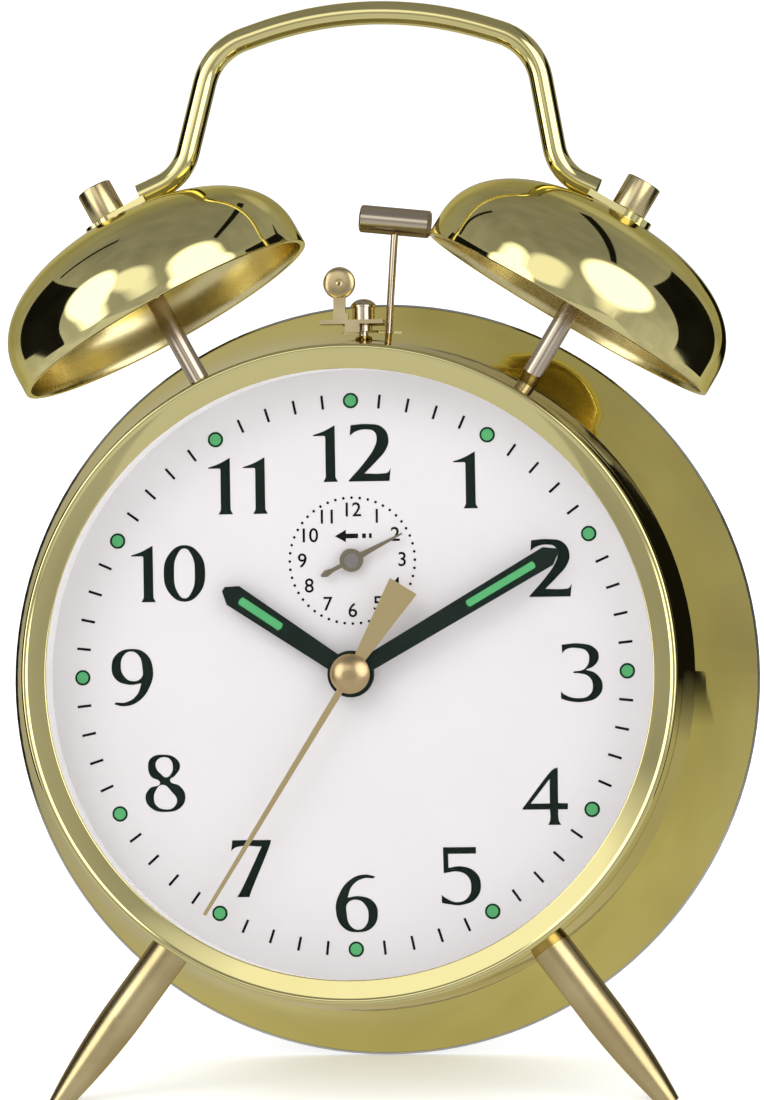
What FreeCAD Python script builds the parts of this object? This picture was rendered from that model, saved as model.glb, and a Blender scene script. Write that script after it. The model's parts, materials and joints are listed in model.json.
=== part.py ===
"""A key-wound twin-bell alarm clock, with its movement, built as separate pieces.

The pieces are modelled in the clock's own frame: the dial centre is the origin, +X is to the
viewer's right, +Z is towards twelve o'clock and +Y runs back through the case. At the end every
piece leans back onto its two feet and the rim of its back cover, with the surface that the clock
stands on at z = 0 and the origin in the middle of the footprint. All sizes are millimetres.
"""
import FreeCAD, Part
import math
import os

from FreeCAD import Rotation, Vector

# ---------------------------------------------------------------- case and bezel
GLASS_RADIUS = 46.3          # glass, dial and spacer ring share the case's mouth
BEZEL_RADIUS = 47.75         # outer edge of the bezel's front face
BEZEL_OPENING = 44.2         # clear radius inside the bezel
BEZEL_FRONT = -8.0           # the bezel stands this far in front of the dial
BEZEL_BACK = -3.0            # where the bezel's skirt ends on the case
GLASS_FRONT = -6.8
GLASS_BACK = -5.5
SKIRT_RADIUS = 48.3          # skirt of the bezel at its rear edge
NECK_BACK = 8.0              # crease between the straight neck and the flared body
NECK_RADIUS = 49.4
FLARE_MIDDLE = (23.5, 52.9)  # depth and radius half-way along the flare
CASE_BACK = 38.8
CASE_BACK_RADIUS = 57.2
CASE_WALL = 0.8
RIM_RADIUS = 57.5            # silvery rim of the back cover
RIM_THICKNESS = 1.2
COVER_DEPTH = 37.0           # front of the back cover's flat floor
COVER_WALL = 0.8
DIAL_THICKNESS = 0.5

# ---------------------------------------------------------------- feet
FOOT_TOP = (29.0, 5.0, -41.3)
FOOT_TIP = (44.3, 5.0, -61.7)
FOOT_RADIUS = 2.95
FOOT_TIP_RADIUS = 1.45
FOOT_STRAIGHT = 11.0         # cylindrical part below the case
FOOT_STUD_RADIUS = 1.5
TABLE_DROP = 62.3            # dial centre to the standing surface, in the plane of the feet

# ---------------------------------------------------------------- bells, posts and handle
BELL_PLANE = 18.3            # depth of the plane that holds posts, bells, handle and hammer
BELL_RADIUS = 23.9
BELL_SKIRT = 3.0             # straight part of the bell's wall at its mouth
BELL_HEIGHT = 16.9
BELL_FULLNESS = 2.25         # 2 is an ellipse; more gives the dome fuller shoulders
BELL_WALL = 0.9
BELLS = {                    # side: mouth centre x and z, lean outwards and backwards in degrees
    "left": (-30.0, 53.95, -28.5, 0.0),
    "right": (30.4, 53.5, 31.0, 1.8),
}
POST_RADIUS = 1.5
POST_THREAD_RADIUS = 1.2
NUT_RADIUS = 2.7
NUT_HEIGHT = 5.0
TAB_THICKNESS = 1.0
CROWN_FLAT = 0.15            # small flat at the top of every domed end
HANDLE_ROD_RADIUS = 1.75
HANDLE_TAB_WIDTH = 5.6
HANDLE_SHOULDERS = ((-22.6, 94.5), (26.0, 94.4))
HANDLE_CROWN = (1.6, 102.5)
HANDLE_BENDS = (7.5, 9.0, 55.0, 9.0, 7.5)   # bend radii, from the left knee to the right
HANDLE_KNEES = {"left": 12.6, "right": 11.8}  # distance inwards from each bell's axis

# ---------------------------------------------------------------- hammer and stop lever
HAMMER_PIVOT = (1.5, 22.0)
HAMMER_HEAD = (4.8, 68.05)
HAMMER_HEAD_LENGTH = 10.6
HAMMER_HEAD_RADIUS = 2.08
HAMMER_HEAD_TILT = 6.5       # degrees, right end lower
HAMMER_WIRE_RADIUS = 0.55
SLOT_LEFT = -3.4             # ends of the case's slot for the hammer wire
SLOT_RIGHT = 5.6
SLOT_WIDTH = 2.2
LEVER_PIVOT = (0.3, 14.6)    # x and y of the stop lever's rivet
LEVER_PADDLE = (-3.0, 58.4)  # x and z of the middle of the lever's paddle
LEVER_PADDLE_RADIUS = 2.25
LEVER_SHEET = 0.6
LEVER_SHELF = 52.3           # height of the underside of the lever's flat base
LEVER_LUG = 51.0             # lowest point of the lug in front of the rivet

# ---------------------------------------------------------------- movement layout
FRONT_PLATE = (5.0, 6.2)     # front and back faces of each plate
REAR_PLATE = (26.0, 27.2)
PLATE_RADIUS = 38.5
PLATE_HALF_HEIGHT = 30.0
PILLAR = (27.0, 24.0)
PILLAR_RADIUS = 2.0
PRESSURE_ANGLE = 25.0
ADDENDUM = 0.8               # in modules, stubbed so that small pinions aren't undercut
DEDENDUM = 1.05
TOOTH_SHARE = 0.44           # tooth width over pitch; the rest is backlash
TRAIN_MODULE_CENTRE = 0.34
TRAIN_MODULE_THIRD = 0.36
TRAIN_MODULE_FOURTH = 0.34
GREAT_MODULE = 0.42
MOTION_MODULE_MINUTE = 0.3557142857
MOTION_MODULE_HOUR = 0.415
ALARM_MODULE = 0.45
TEETH = {
    "great_wheel": 60, "centre_pinion": 10,
    "centre_wheel": 64, "third_pinion": 8,
    "third_wheel": 60, "fourth_pinion": 8,
    "fourth_wheel": 64, "escape_pinion": 8,
    "cannon_pinion": 10, "minute_wheel": 60,
    "minute_pinion": 20, "hour_wheel": 40, "alarm_wheel": 40,
    "alarm_great_wheel": 60, "alarm_escape_pinion": 8,
}
RUNNING_CLEARANCE = 0.05     # radial, between an arbor and its hole
CENTRE_ARBOR_RADIUS = 0.9    # hollow arbor of the centre wheel
CANNON_RADIUS = 1.2          # pipe of the cannon pinion, which grips the centre arbor
ALARM_HEIGHT = 16.6          # alarm arbor above the dial centre
ESCAPE_TEETH = 15
ALARM_ESCAPE_TEETH = 16
ESCAPE_RADIUS = 5.0
ALARM_ESCAPE_RADIUS = 5.2


def polar(centre, distance, angle):
    """The point at a distance and an angle (degrees from +X towards +Z) from a centre."""
    turn = math.radians(angle)
    return (centre[0] + distance * math.cos(turn), centre[1] + distance * math.sin(turn))


def centre_distance(first, second, module):
    """Centre distance of two meshing gears."""
    return (TEETH[first] + TEETH[second]) * module / 2


CENTRE = (0.0, 0.0)
ALARM = (0.0, ALARM_HEIGHT)
GREAT = polar(CENTRE, centre_distance("great_wheel", "centre_pinion", GREAT_MODULE), 215)
THIRD = polar(CENTRE, centre_distance("centre_wheel", "third_pinion", TRAIN_MODULE_CENTRE), -80)
ESCAPE = polar(CENTRE, centre_distance("fourth_wheel", "escape_pinion", TRAIN_MODULE_FOURTH), -20)
PALLET = polar(ESCAPE, 7.0, -60)
BALANCE = polar(PALLET, 9.6, -99)
MINUTE = polar(CENTRE, centre_distance("cannon_pinion", "minute_wheel", MOTION_MODULE_MINUTE), 150)
ALARM_GREAT = (21.0, 9.0)
ALARM_ESCAPE = polar(
    ALARM_GREAT, centre_distance("alarm_great_wheel", "alarm_escape_pinion", ALARM_MODULE), 140)
STANDOFFS = ((33.0, 2.0), (-33.0, 2.0), (0.0, -26.5))
DIAL_PILLARS = ((28.0, 6.0), (-28.0, 6.0), (0.0, -26.5))

# Hand angles at rest, clockwise from twelve, in degrees
MINUTE_HAND_ANGLE = 60.0
HOUR_HAND_ANGLE = 304.0
SECOND_HAND_ANGLE = 212.0
ALARM_HAND_ANGLE = 63.0


# ================================================================ basic shapes
def cylinder(centre, start, end, radius):
    """A cylinder along Y between two depths."""
    base = Vector(centre[0], start, centre[1])
    return Part.makeCylinder(radius, end - start, base, Vector(0, 1, 0))


def tube(centre, start, end, radius, bore):
    """A cylinder along Y with a hole right through."""
    return cylinder(centre, start, end, radius).cut(cylinder(centre, start - 1, end + 1, bore))


def turned(outline, centre=CENTRE):
    """A solid turned about a line along Y, from (depth, radius) corners."""
    corners = [Vector(radius, depth, 0) for depth, radius in outline]
    face = Part.Face(Part.makePolygon(corners + corners[:1]))
    solid = face.revolve(Vector(0, 0, 0), Vector(0, 1, 0), 360)
    solid.translate(Vector(centre[0], 0, centre[1]))
    return solid


def flat_shape(points, start, end):
    """A flat plate between two depths, from (x, z) corners."""
    corners = [Vector(x, start, z) for x, z in points]
    face = Part.Face(Part.makePolygon(corners + corners[:1]))
    return face.extrude(Vector(0, end - start, 0))


def stand_along(solid, base, direction):
    """Moves a shape that was built up from the origin along +Z to a base and a direction."""
    turn = Rotation(Vector(0, 0, 1), direction)
    solid.Placement = FreeCAD.Placement(base, turn)
    return solid


def spindle(outline):
    """A solid turned about Z, from (height, radius) corners; a middle point makes an arc."""
    edges = []
    for kind, points in outline:
        at = [Vector(radius, 0, height) for height, radius in points]
        edges.append(Part.Arc(*at).toShape() if kind == "arc" else Part.makeLine(*at))
    return Part.Face(Part.Wire(edges)).revolve(Vector(0, 0, 0), Vector(0, 0, 1), 360)


def smooth_edge(*points):
    """A smooth curve through the points."""
    curve = Part.BSplineCurve()
    curve.interpolate(list(points))
    return curve.toShape()


def fuse_all(shapes):
    """One solid from overlapping shapes."""
    return shapes[0].multiFuse(shapes[1:]).removeSplitter()


# ================================================================ gears
def involute_point(base_radius, radius, tooth_half, pitch_radius):
    """Angle from a tooth's centre line to its flank at a radius."""
    def roll(at):
        angle = math.acos(min(1.0, base_radius / at))
        return math.tan(angle) - angle
    return tooth_half + roll(pitch_radius) - roll(max(radius, base_radius))


def gear(name, module, centre, start, end, phase, bore):
    """A spur gear with involute flanks; one tooth is centred on the phase angle."""
    teeth = TEETH[name]
    pitch_radius = teeth * module / 2
    base_radius = pitch_radius * math.cos(math.radians(PRESSURE_ANGLE))
    tip = pitch_radius + ADDENDUM * module
    root = pitch_radius - DEDENDUM * module
    tooth_half = math.pi * TOOTH_SHARE / teeth
    low = max(root, base_radius)
    flank = [low + (tip - low) * step / 3 for step in range(4)]
    widths = [(r, involute_point(base_radius, r, tooth_half, pitch_radius)) for r in flank]
    if root < base_radius:
        widths = [(root, widths[0][1])] + widths
    points = []
    for tooth in range(teeth):
        middle = math.radians(phase) + 2 * math.pi * tooth / teeth
        for radius, half in widths:
            points.append((radius, middle - half))
        for radius, half in reversed(widths):
            points.append((radius, middle + half))
    outline = [
        (centre[0] + radius * math.cos(angle), centre[1] + radius * math.sin(angle))
        for radius, angle in points
    ]
    body = flat_shape(outline, start, end)
    return body.cut(cylinder(centre, start - 1, end + 1, bore)) if bore else body


def line_angle(first, second):
    """Direction from one centre to another, in degrees."""
    return math.degrees(math.atan2(second[1] - first[1], second[0] - first[0]))


def meshing_phase(first_name, first_phase, first_centre, second_name, second_centre):
    """Phase that puts a gap of the second gear opposite a tooth of the first."""
    along = line_angle(first_centre, second_centre)
    share = (along - first_phase) * TEETH[first_name] / 360 % 1
    return along + 180 - (0.5 - share) * 360 / TEETH[second_name]


def spoked(wheel, centre, start, end, rim_radius, hub_radius, spokes=4, spoke_width=2.0):
    """Opens the web of a wheel into spokes."""
    web = tube(centre, start - 1, end + 1, rim_radius, hub_radius)
    for spoke in range(spokes):
        bar = Part.makeBox(rim_radius * 2, end - start + 4, spoke_width)
        bar.translate(Vector(0, start - 2, -spoke_width / 2))
        bar.rotate(Vector(0, 0, 0), Vector(0, 1, 0), 360 / spokes * spoke)
        bar.translate(Vector(centre[0], 0, centre[1]))
        web = web.cut(bar)
    return wheel.cut(web)


def pointed_wheel(teeth, radius, depth, centre, start, end, bore, lean):
    """An escape wheel with slender pointed teeth."""
    points = []
    for tooth in range(teeth):
        middle = 2 * math.pi * tooth / teeth
        pitch = 2 * math.pi / teeth
        points.append((radius, middle + lean * pitch))
        points.append((radius, middle + (lean + 0.06) * pitch))
        points.append((radius - depth, middle + 0.24 * pitch))
        points.append((radius - depth, middle + 0.86 * pitch))
    outline = [
        (centre[0] + r * math.cos(angle), centre[1] + r * math.sin(angle)) for r, angle in points
    ]
    return flat_shape(outline, start, end).cut(cylinder(centre, start - 1, end + 1, bore))


def spiral_strip(centre, start, end, inner, outer, turns, thickness, steps=20):
    """A flat strip wound into a spiral."""
    count = int(turns * steps)
    inside, outside = [], []
    for step in range(count + 1):
        radius = inner + (outer - inner) * step / count
        turn = 360 * step / steps
        inside.append(polar(centre, radius - thickness / 2, turn))
        outside.append(polar(centre, radius + thickness / 2, turn))
    return flat_shape(inside + outside[::-1], start, end)


# ================================================================ case, glass and dial
def case_outline():
    """Depth and radius of the case's outer face, from the front to the rear."""
    return [(GLASS_FRONT, BEZEL_RADIUS - 0.5), (BEZEL_BACK, BEZEL_RADIUS - 0.2),
            (BEZEL_BACK, SKIRT_RADIUS - 0.05), (NECK_BACK, NECK_RADIUS)]


def case_shell():
    """Thin flared case with a seat for the dial and holes for posts, feet, wire and rivet."""
    outer = [Vector(radius, depth, 0) for depth, radius in case_outline()]
    flare_end = Vector(CASE_BACK_RADIUS, CASE_BACK, 0)
    flare_middle = Vector(FLARE_MIDDLE[1], FLARE_MIDDLE[0], 0)
    wall = Vector(CASE_WALL, 0, 0)
    seat_back = DIAL_THICKNESS + CASE_WALL
    inner = [
        Vector(NECK_RADIUS - 1.5, seat_back, 0),
        Vector(BEZEL_OPENING + 0.6, seat_back, 0),
        Vector(BEZEL_OPENING + 0.6, DIAL_THICKNESS, 0),
        Vector(GLASS_RADIUS, DIAL_THICKNESS, 0),
        Vector(GLASS_RADIUS, GLASS_FRONT, 0),
    ]
    edges = [Part.makeLine(a, b) for a, b in zip(outer, outer[1:])]
    edges.append(smooth_edge(outer[-1], flare_middle, flare_end))
    edges.append(Part.makeLine(flare_end, flare_end - wall))
    edges.append(smooth_edge(flare_end - wall, flare_middle - wall, outer[-1] - wall))
    path = [outer[-1] - wall] + inner + [outer[0]]
    edges += [Part.makeLine(a, b) for a, b in zip(path, path[1:])]
    shell = Part.Face(Part.Wire(edges)).revolve(Vector(0, 0, 0), Vector(0, 1, 0), 360)
    for side in BELLS:
        shell = shell.cut(post_bar(side, POST_RADIUS + RUNNING_CLEARANCE, -25, 0))
    for sign in (-1, 1):
        shell = shell.cut(foot_bar(sign, FOOT_STUD_RADIUS + RUNNING_CLEARANCE, -10, 8))
    slot = Part.makeBox(SLOT_RIGHT - SLOT_LEFT, SLOT_WIDTH, 12)
    slot.translate(Vector(SLOT_LEFT, BELL_PLANE - SLOT_WIDTH / 2, 46))
    rivet_hole = Part.makeCylinder(
        0.75, 12, Vector(LEVER_PIVOT[0], LEVER_PIVOT[1], 46), Vector(0, 0, 1))
    return shell.cut(slot).cut(rivet_hole)


def bezel_ring():
    """Pressed bezel: a bright flat cone facing forward, a rolled edge and a skirt."""
    flange_back = GLASS_FRONT
    return turned([
        (flange_back, BEZEL_OPENING), (BEZEL_FRONT + 0.6, BEZEL_OPENING),
        (BEZEL_FRONT + 0.15, BEZEL_RADIUS - 0.95), (BEZEL_FRONT, BEZEL_RADIUS - 0.6),
        (BEZEL_FRONT, BEZEL_RADIUS - 0.3), (BEZEL_FRONT + 0.3, BEZEL_RADIUS),
        (BEZEL_BACK, SKIRT_RADIUS), (BEZEL_BACK, BEZEL_RADIUS - 0.15),
        (flange_back, BEZEL_RADIUS - 0.45),
    ])


def glass_lens():
    """Flat glass held behind the bezel."""
    return cylinder(CENTRE, GLASS_FRONT, GLASS_BACK, GLASS_RADIUS)


def dial_ring():
    """Spacer ring between the glass and the dial."""
    return tube(CENTRE, GLASS_BACK, 0, GLASS_RADIUS, BEZEL_OPENING + 0.3)


def dial_plate():
    """Dial with holes for the hour pipe and the alarm arbor."""
    plate = cylinder(CENTRE, 0, DIAL_THICKNESS, GLASS_RADIUS)
    plate = plate.cut(cylinder(CENTRE, -1, 2, 1.9))
    return plate.cut(cylinder(ALARM, -1, 2, 1.3))


def back_cover():
    """Steel back cover: a recessed floor, a sloping wall and a rim around the case's edge."""
    floor_back = COVER_DEPTH + COVER_WALL
    cover = turned([
        (COVER_DEPTH, 0), (COVER_DEPTH, 52.0), (CASE_BACK, 55.0), (CASE_BACK, RIM_RADIUS - 0.35),
        (CASE_BACK + 0.35, RIM_RADIUS), (CASE_BACK + RIM_THICKNESS - 0.35, RIM_RADIUS),
        (CASE_BACK + RIM_THICKNESS, RIM_RADIUS - 0.35), (CASE_BACK + RIM_THICKNESS, 54.6),
        (floor_back, 51.4), (floor_back, 0),
    ])
    for centre, radius in ((GREAT, 2.6), (ALARM_GREAT, 2.6), (MINUTE, 1.4), (ALARM, 1.7)):
        cover = cover.cut(cylinder(centre, COVER_DEPTH - 1, floor_back + 1, radius))
    for centre in STANDOFFS:
        cover = cover.cut(cylinder(centre, COVER_DEPTH - 1, floor_back + 1, 1.3))
    return cover.cut(regulator_slot())


# ================================================================ feet
def foot_axis(sign):
    """Top centre and unit direction of a foot."""
    top = Vector(sign * FOOT_TOP[0], FOOT_TOP[1], FOOT_TOP[2])
    tip = Vector(sign * FOOT_TIP[0], FOOT_TIP[1], FOOT_TIP[2])
    direction = tip - top
    length = direction.Length
    return top, direction.normalize(), length


def foot_bar(sign, radius, start, end):
    """A cylinder along a foot's axis, measured from its top."""
    top, direction, _ = foot_axis(sign)
    return Part.makeCylinder(radius, end - start, top + direction * start, direction)


def lean_angle():
    """How far the clock leans back to rest on its feet and on the back cover's rim."""
    rim_depth = CASE_BACK + RIM_THICKNESS - 0.35
    return math.degrees(math.atan2(TABLE_DROP - RIM_RADIUS, rim_depth - FOOT_TOP[1]))


def below_table():
    """A block that fills the space below the surface that the clock stands on."""
    block = Part.makeBox(200, 200, 40)
    block.translate(Vector(-100, -100, -40))
    block.rotate(Vector(0, 0, 0), Vector(1, 0, 0), lean_angle())
    block.translate(Vector(0, FOOT_TOP[1], -TABLE_DROP))
    return block


def neck_solid():
    """The case's neck with its hollow filled in, used to fit the feet against it."""
    fit = 0.005
    return turned([
        (BEZEL_BACK, 0), (BEZEL_BACK, SKIRT_RADIUS - 0.05 + fit), (NECK_BACK, NECK_RADIUS + fit),
        (NECK_BACK + 4, NECK_RADIUS + 1.0), (NECK_BACK + 4, 0),
    ])


def foot(sign):
    """A turned foot: a cylinder that tapers to a tip ground flat, with a stud at its top."""
    top, direction, length = foot_axis(sign)
    seat = -2.0
    end = length + 1.5
    middle = (FOOT_STRAIGHT + (end - FOOT_STRAIGHT) * 0.52, FOOT_RADIUS - 0.5)
    leg = spindle([
        ("line", [(seat, 0), (seat, FOOT_RADIUS)]),
        ("line", [(seat, FOOT_RADIUS), (FOOT_STRAIGHT, FOOT_RADIUS)]),
        ("arc", [(FOOT_STRAIGHT, FOOT_RADIUS), middle, (end, FOOT_TIP_RADIUS)]),
        ("line", [(end, FOOT_TIP_RADIUS), (end, 0)]),
        ("line", [(end, 0), (seat, 0)]),
    ])
    leg = stand_along(leg, top, direction).cut(below_table()).cut(neck_solid())
    return fuse_all([leg, foot_bar(sign, FOOT_STUD_RADIUS, -6.0, 4.0)])


def foot_nuts():
    """Nuts inside the case that hold the two feet."""
    nuts = []
    for sign in (-1, 1):
        top, direction, _ = foot_axis(sign)
        nuts.append(hex_ring(top + direction * -4.6, direction, 2.6, FOOT_STUD_RADIUS, 1.8))
    return Part.makeCompound(nuts)


def hex_ring(base, direction, across_half, bore, height):
    """A six-sided nut standing on a base point."""
    corners = []
    for corner in range(7):
        turn = math.radians(60 * corner)
        reach = across_half / math.cos(math.radians(30))
        corners.append(Vector(reach * math.cos(turn), reach * math.sin(turn), 0))
    nut = Part.Face(Part.makePolygon(corners)).extrude(Vector(0, 0, height))
    nut = nut.cut(Part.makeCylinder(bore, height * 3, Vector(0, 0, -height)))
    return stand_along(nut, base, direction)


# ================================================================ bells, posts and handle
def bell_frame(side):
    """Mouth centre, axis and inward direction of a bell."""
    x, z, lean, back = BELLS[side]
    turn, tip = math.radians(lean), math.radians(back)
    axis = Vector(math.sin(turn) * math.cos(tip), math.sin(tip), math.cos(turn) * math.cos(tip))
    inward = Vector(math.cos(turn), 0, -math.sin(turn)) * (-1 if x > 0 else 1)
    return Vector(x, BELL_PLANE, z), axis, inward


def post_bar(side, radius, start, end):
    """A cylinder along a bell's axis, measured from its mouth."""
    mouth, axis, _ = bell_frame(side)
    return Part.makeCylinder(radius, end - start, mouth + axis * start, axis)


def dome_edge(radius, height):
    """The dome's curve from the top of the skirt to the axis."""
    points = []
    steps = 16
    for step in range(steps + 1):
        turn = math.pi / 2 * step / steps
        across = radius * abs(math.cos(turn)) ** (2 / BELL_FULLNESS)
        up = height * math.sin(turn) ** (2 / BELL_FULLNESS)
        points.append(Vector(0 if step == steps else across, 0, BELL_SKIRT + up))
    return smooth_edge(*points)


def bell(side):
    """Thin domed bell, open downwards, with a hole for the post's thread."""
    lip_out = Vector(BELL_RADIUS, 0, 0)
    lip_in = Vector(BELL_RADIUS - BELL_WALL, 0, 0)
    up = Vector(0, 0, BELL_SKIRT)
    edges = [
        Part.makeLine(lip_in, lip_out), Part.makeLine(lip_out, lip_out + up),
        dome_edge(BELL_RADIUS, BELL_HEIGHT - BELL_SKIRT),
        Part.makeLine(Vector(0, 0, BELL_HEIGHT), Vector(0, 0, BELL_HEIGHT - BELL_WALL)),
        dome_edge(BELL_RADIUS - BELL_WALL, BELL_HEIGHT - BELL_SKIRT - BELL_WALL),
        Part.makeLine(lip_in + up, lip_in),
    ]
    face = Part.Face(Part.Wire(Part.__sortEdges__(edges)))
    shell = face.revolve(Vector(0, 0, 0), Vector(0, 0, 1), 360)
    shell = shell.cut(Part.makeCylinder(POST_THREAD_RADIUS + 0.02, 40, Vector(0, 0, -10)))
    mouth, axis, _ = bell_frame(side)
    return stand_along(shell, mouth, axis)


def filled_bell(side):
    """The bell with its hollow filled in, used to seat the handle on top of it."""
    edges = [
        Part.makeLine(Vector(0, 0, 0), Vector(BELL_RADIUS, 0, 0)),
        Part.makeLine(Vector(BELL_RADIUS, 0, 0), Vector(BELL_RADIUS, 0, BELL_SKIRT)),
        dome_edge(BELL_RADIUS, BELL_HEIGHT - BELL_SKIRT),
        Part.makeLine(Vector(0, 0, BELL_HEIGHT), Vector(0, 0, 0)),
    ]
    solid = Part.Face(Part.Wire(edges)).revolve(Vector(0, 0, 0), Vector(0, 0, 1), 360)
    mouth, axis, _ = bell_frame(side)
    return stand_along(solid, mouth, axis)


def bell_post(side):
    """Post from the movement side of the case to the bell, with a shoulder under the bell."""
    shoulder = BELL_HEIGHT - BELL_WALL - 0.12
    start = -19.0
    body = post_bar(side, POST_RADIUS, start, shoulder)
    thread = post_bar(side, POST_THREAD_RADIUS, shoulder, BELL_HEIGHT + TAB_THICKNESS + 3.2)
    return body.fuse(thread).removeSplitter()


def post_nuts():
    """Nuts that clamp the two bell posts to the inside of the case."""
    nuts = []
    for side in BELLS:
        mouth, axis, _ = bell_frame(side)
        nuts.append(hex_ring(mouth + axis * -16.4, axis, 2.6, POST_RADIUS, 1.8))
    return Part.makeCompound(nuts)


def bell_nut(side):
    """Round cap nut on top of a bell."""
    nut = spindle([
        ("line", [(0, 0), (0, NUT_RADIUS)]),
        ("line", [(0, NUT_RADIUS), (NUT_HEIGHT - 0.35, NUT_RADIUS)]),
        ("line", [(NUT_HEIGHT - 0.35, NUT_RADIUS), (NUT_HEIGHT - 0.1, NUT_RADIUS - 0.35)]),
        ("arc", [(NUT_HEIGHT - 0.1, NUT_RADIUS - 0.35), (NUT_HEIGHT + 0.06, NUT_RADIUS / 2),
                 (NUT_HEIGHT + 0.1, CROWN_FLAT)]),
        ("line", [(NUT_HEIGHT + 0.1, CROWN_FLAT), (NUT_HEIGHT + 0.1, 0)]),
        ("line", [(NUT_HEIGHT + 0.1, 0), (0, 0)]),
    ])
    nut = nut.cut(Part.makeCylinder(POST_THREAD_RADIUS, 3.3))
    mouth, axis, _ = bell_frame(side)
    return stand_along(nut, mouth + axis * (BELL_HEIGHT + TAB_THICKNESS), axis)


def rounded_path(points, radii):
    """Straight runs joined by tangent arcs."""
    edges = []
    last = points[0]
    for before, corner, after, radius in zip(points, points[1:], points[2:], radii):
        incoming = (corner - before).normalize()
        outgoing = (after - corner).normalize()
        half_turn = incoming.getAngle(outgoing) / 2
        reach = radius * math.tan(half_turn)
        start = corner - incoming * reach
        end = corner + outgoing * reach
        bisector = (outgoing - incoming).normalize()
        middle = corner + bisector * (radius / math.cos(half_turn) - radius)
        edges.append(Part.makeLine(last, start))
        edges.append(Part.Arc(start, middle, end).toShape())
        last = end
    edges.append(Part.makeLine(last, points[-1]))
    return Part.Wire(edges)


def carry_handle():
    """Bent rod handle whose flattened ends are clamped between the bells and their nuts."""
    route = []
    tabs = []
    for side in ("left", "right"):
        mouth, axis, inward = bell_frame(side)
        start = mouth + axis * (BELL_HEIGHT + 1.5) + inward * 5.6
        knee = mouth + axis * (BELL_HEIGHT + 0.9) + inward * HANDLE_KNEES[side]
        route.append((start, knee))
        hinge = mouth + axis * (BELL_HEIGHT + TAB_THICKNESS / 2)
        tabs.append(handle_tab(hinge, axis, inward))
    left_start, left_knee = route[0]
    right_start, right_knee = route[1]
    shoulders = [Vector(x, BELL_PLANE, z) for x, z in HANDLE_SHOULDERS]
    crown = Vector(HANDLE_CROWN[0], BELL_PLANE, HANDLE_CROWN[1])
    points = [left_start, left_knee, shoulders[0], crown, shoulders[1], right_knee, right_start]
    wire = rounded_path(points, HANDLE_BENDS)
    profile = Part.makeCircle(HANDLE_ROD_RADIUS, left_start, left_knee - left_start)
    rod = wire.makePipeShell([Part.Wire([profile])], True, True)
    handle = fuse_all([rod] + tabs)
    for side in BELLS:
        handle = handle.cut(post_bar(side, POST_THREAD_RADIUS + 0.02, 8, 30))
        handle = handle.cut(filled_bell(side))
    return handle


def handle_tab(centre, axis, inward):
    """Flat end of the handle, rounded at its free end, with room for the bell's thread."""
    half = HANDLE_TAB_WIDTH / 2
    length = 6.2
    plate = Part.makeBox(length, HANDLE_TAB_WIDTH, TAB_THICKNESS)
    plate.translate(Vector(0, -half, -TAB_THICKNESS / 2))
    end = Part.makeCylinder(half, TAB_THICKNESS, Vector(0, 0, -TAB_THICKNESS / 2))
    nose = Part.makeCylinder(half * 0.8, TAB_THICKNESS, Vector(-1.9, 0, -TAB_THICKNESS / 2))
    tab = fuse_all([plate, end, nose])
    across = axis.cross(inward)
    turn = Rotation(inward, across, axis, "ZXY")
    tab.Placement = FreeCAD.Placement(centre, turn)
    return tab


# ================================================================ hammer and stop lever
def hammer_head():
    """Cylindrical head on top of the hammer wire."""
    start = Vector(HAMMER_HEAD[0], BELL_PLANE, HAMMER_HEAD[1])
    turn = math.radians(HAMMER_HEAD_TILT)
    along = Vector(math.cos(turn), 0, -math.sin(turn))
    edge = 0.25
    half = HAMMER_HEAD_LENGTH / 2
    head = spindle([
        ("line", [(-half, 0), (-half, HAMMER_HEAD_RADIUS - edge)]),
        ("line", [(-half, HAMMER_HEAD_RADIUS - edge), (-half + edge, HAMMER_HEAD_RADIUS)]),
        ("line", [(-half + edge, HAMMER_HEAD_RADIUS), (half - edge, HAMMER_HEAD_RADIUS)]),
        ("line", [(half - edge, HAMMER_HEAD_RADIUS), (half, HAMMER_HEAD_RADIUS - edge)]),
        ("line", [(half, HAMMER_HEAD_RADIUS - edge), (half, 0)]),
        ("line", [(half, 0), (-half, 0)]),
    ])
    head = stand_along(head, start, along)
    return head.cut(hammer_wire())


def hammer_wire():
    """Straight wire from the hammer arbor's hub up into the head."""
    base = Vector(HAMMER_PIVOT[0], BELL_PLANE, HAMMER_PIVOT[1])
    top = Vector(HAMMER_HEAD[0], BELL_PLANE, HAMMER_HEAD[1])
    direction = (top - base).normalize()
    start = 1.6
    length = (top - base).Length - start
    return Part.makeCylinder(HAMMER_WIRE_RADIUS, length, base + direction * start, direction)


def hammer_arbor():
    """Arbor of the hammer, with the hub that holds the wire and the strike anchor."""
    arbor = arbor_between_plates(HAMMER_PIVOT, 0.9, 0.6)
    hub = cylinder(HAMMER_PIVOT, BELL_PLANE - 1.6, BELL_PLANE + 1.6, 1.9)
    away = line_angle(HAMMER_PIVOT, ALARM_ESCAPE)
    arm = flat_shape([
        polar(HAMMER_PIVOT, 1.6, away + 90), polar(HAMMER_PIVOT, 3.4, away + 40),
        polar(HAMMER_PIVOT, 2.4, away), polar(HAMMER_PIVOT, 3.4, away - 40),
        polar(HAMMER_PIVOT, 1.6, away - 90), polar(HAMMER_PIVOT, 1.6, away + 180),
    ], 10.0, 11.2)
    return fuse_all([arbor, hub, arm]).cut(hammer_wire())


def arbor_between_plates(centre, radius, pivot_radius):
    """A plain arbor with a thinner pivot in each plate."""
    body = cylinder(centre, FRONT_PLATE[1] + 0.15, REAR_PLATE[0] - 0.15, radius)
    pivot = cylinder(centre, FRONT_PLATE[0], REAR_PLATE[1], pivot_radius)
    return body.fuse(pivot).removeSplitter()


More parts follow.
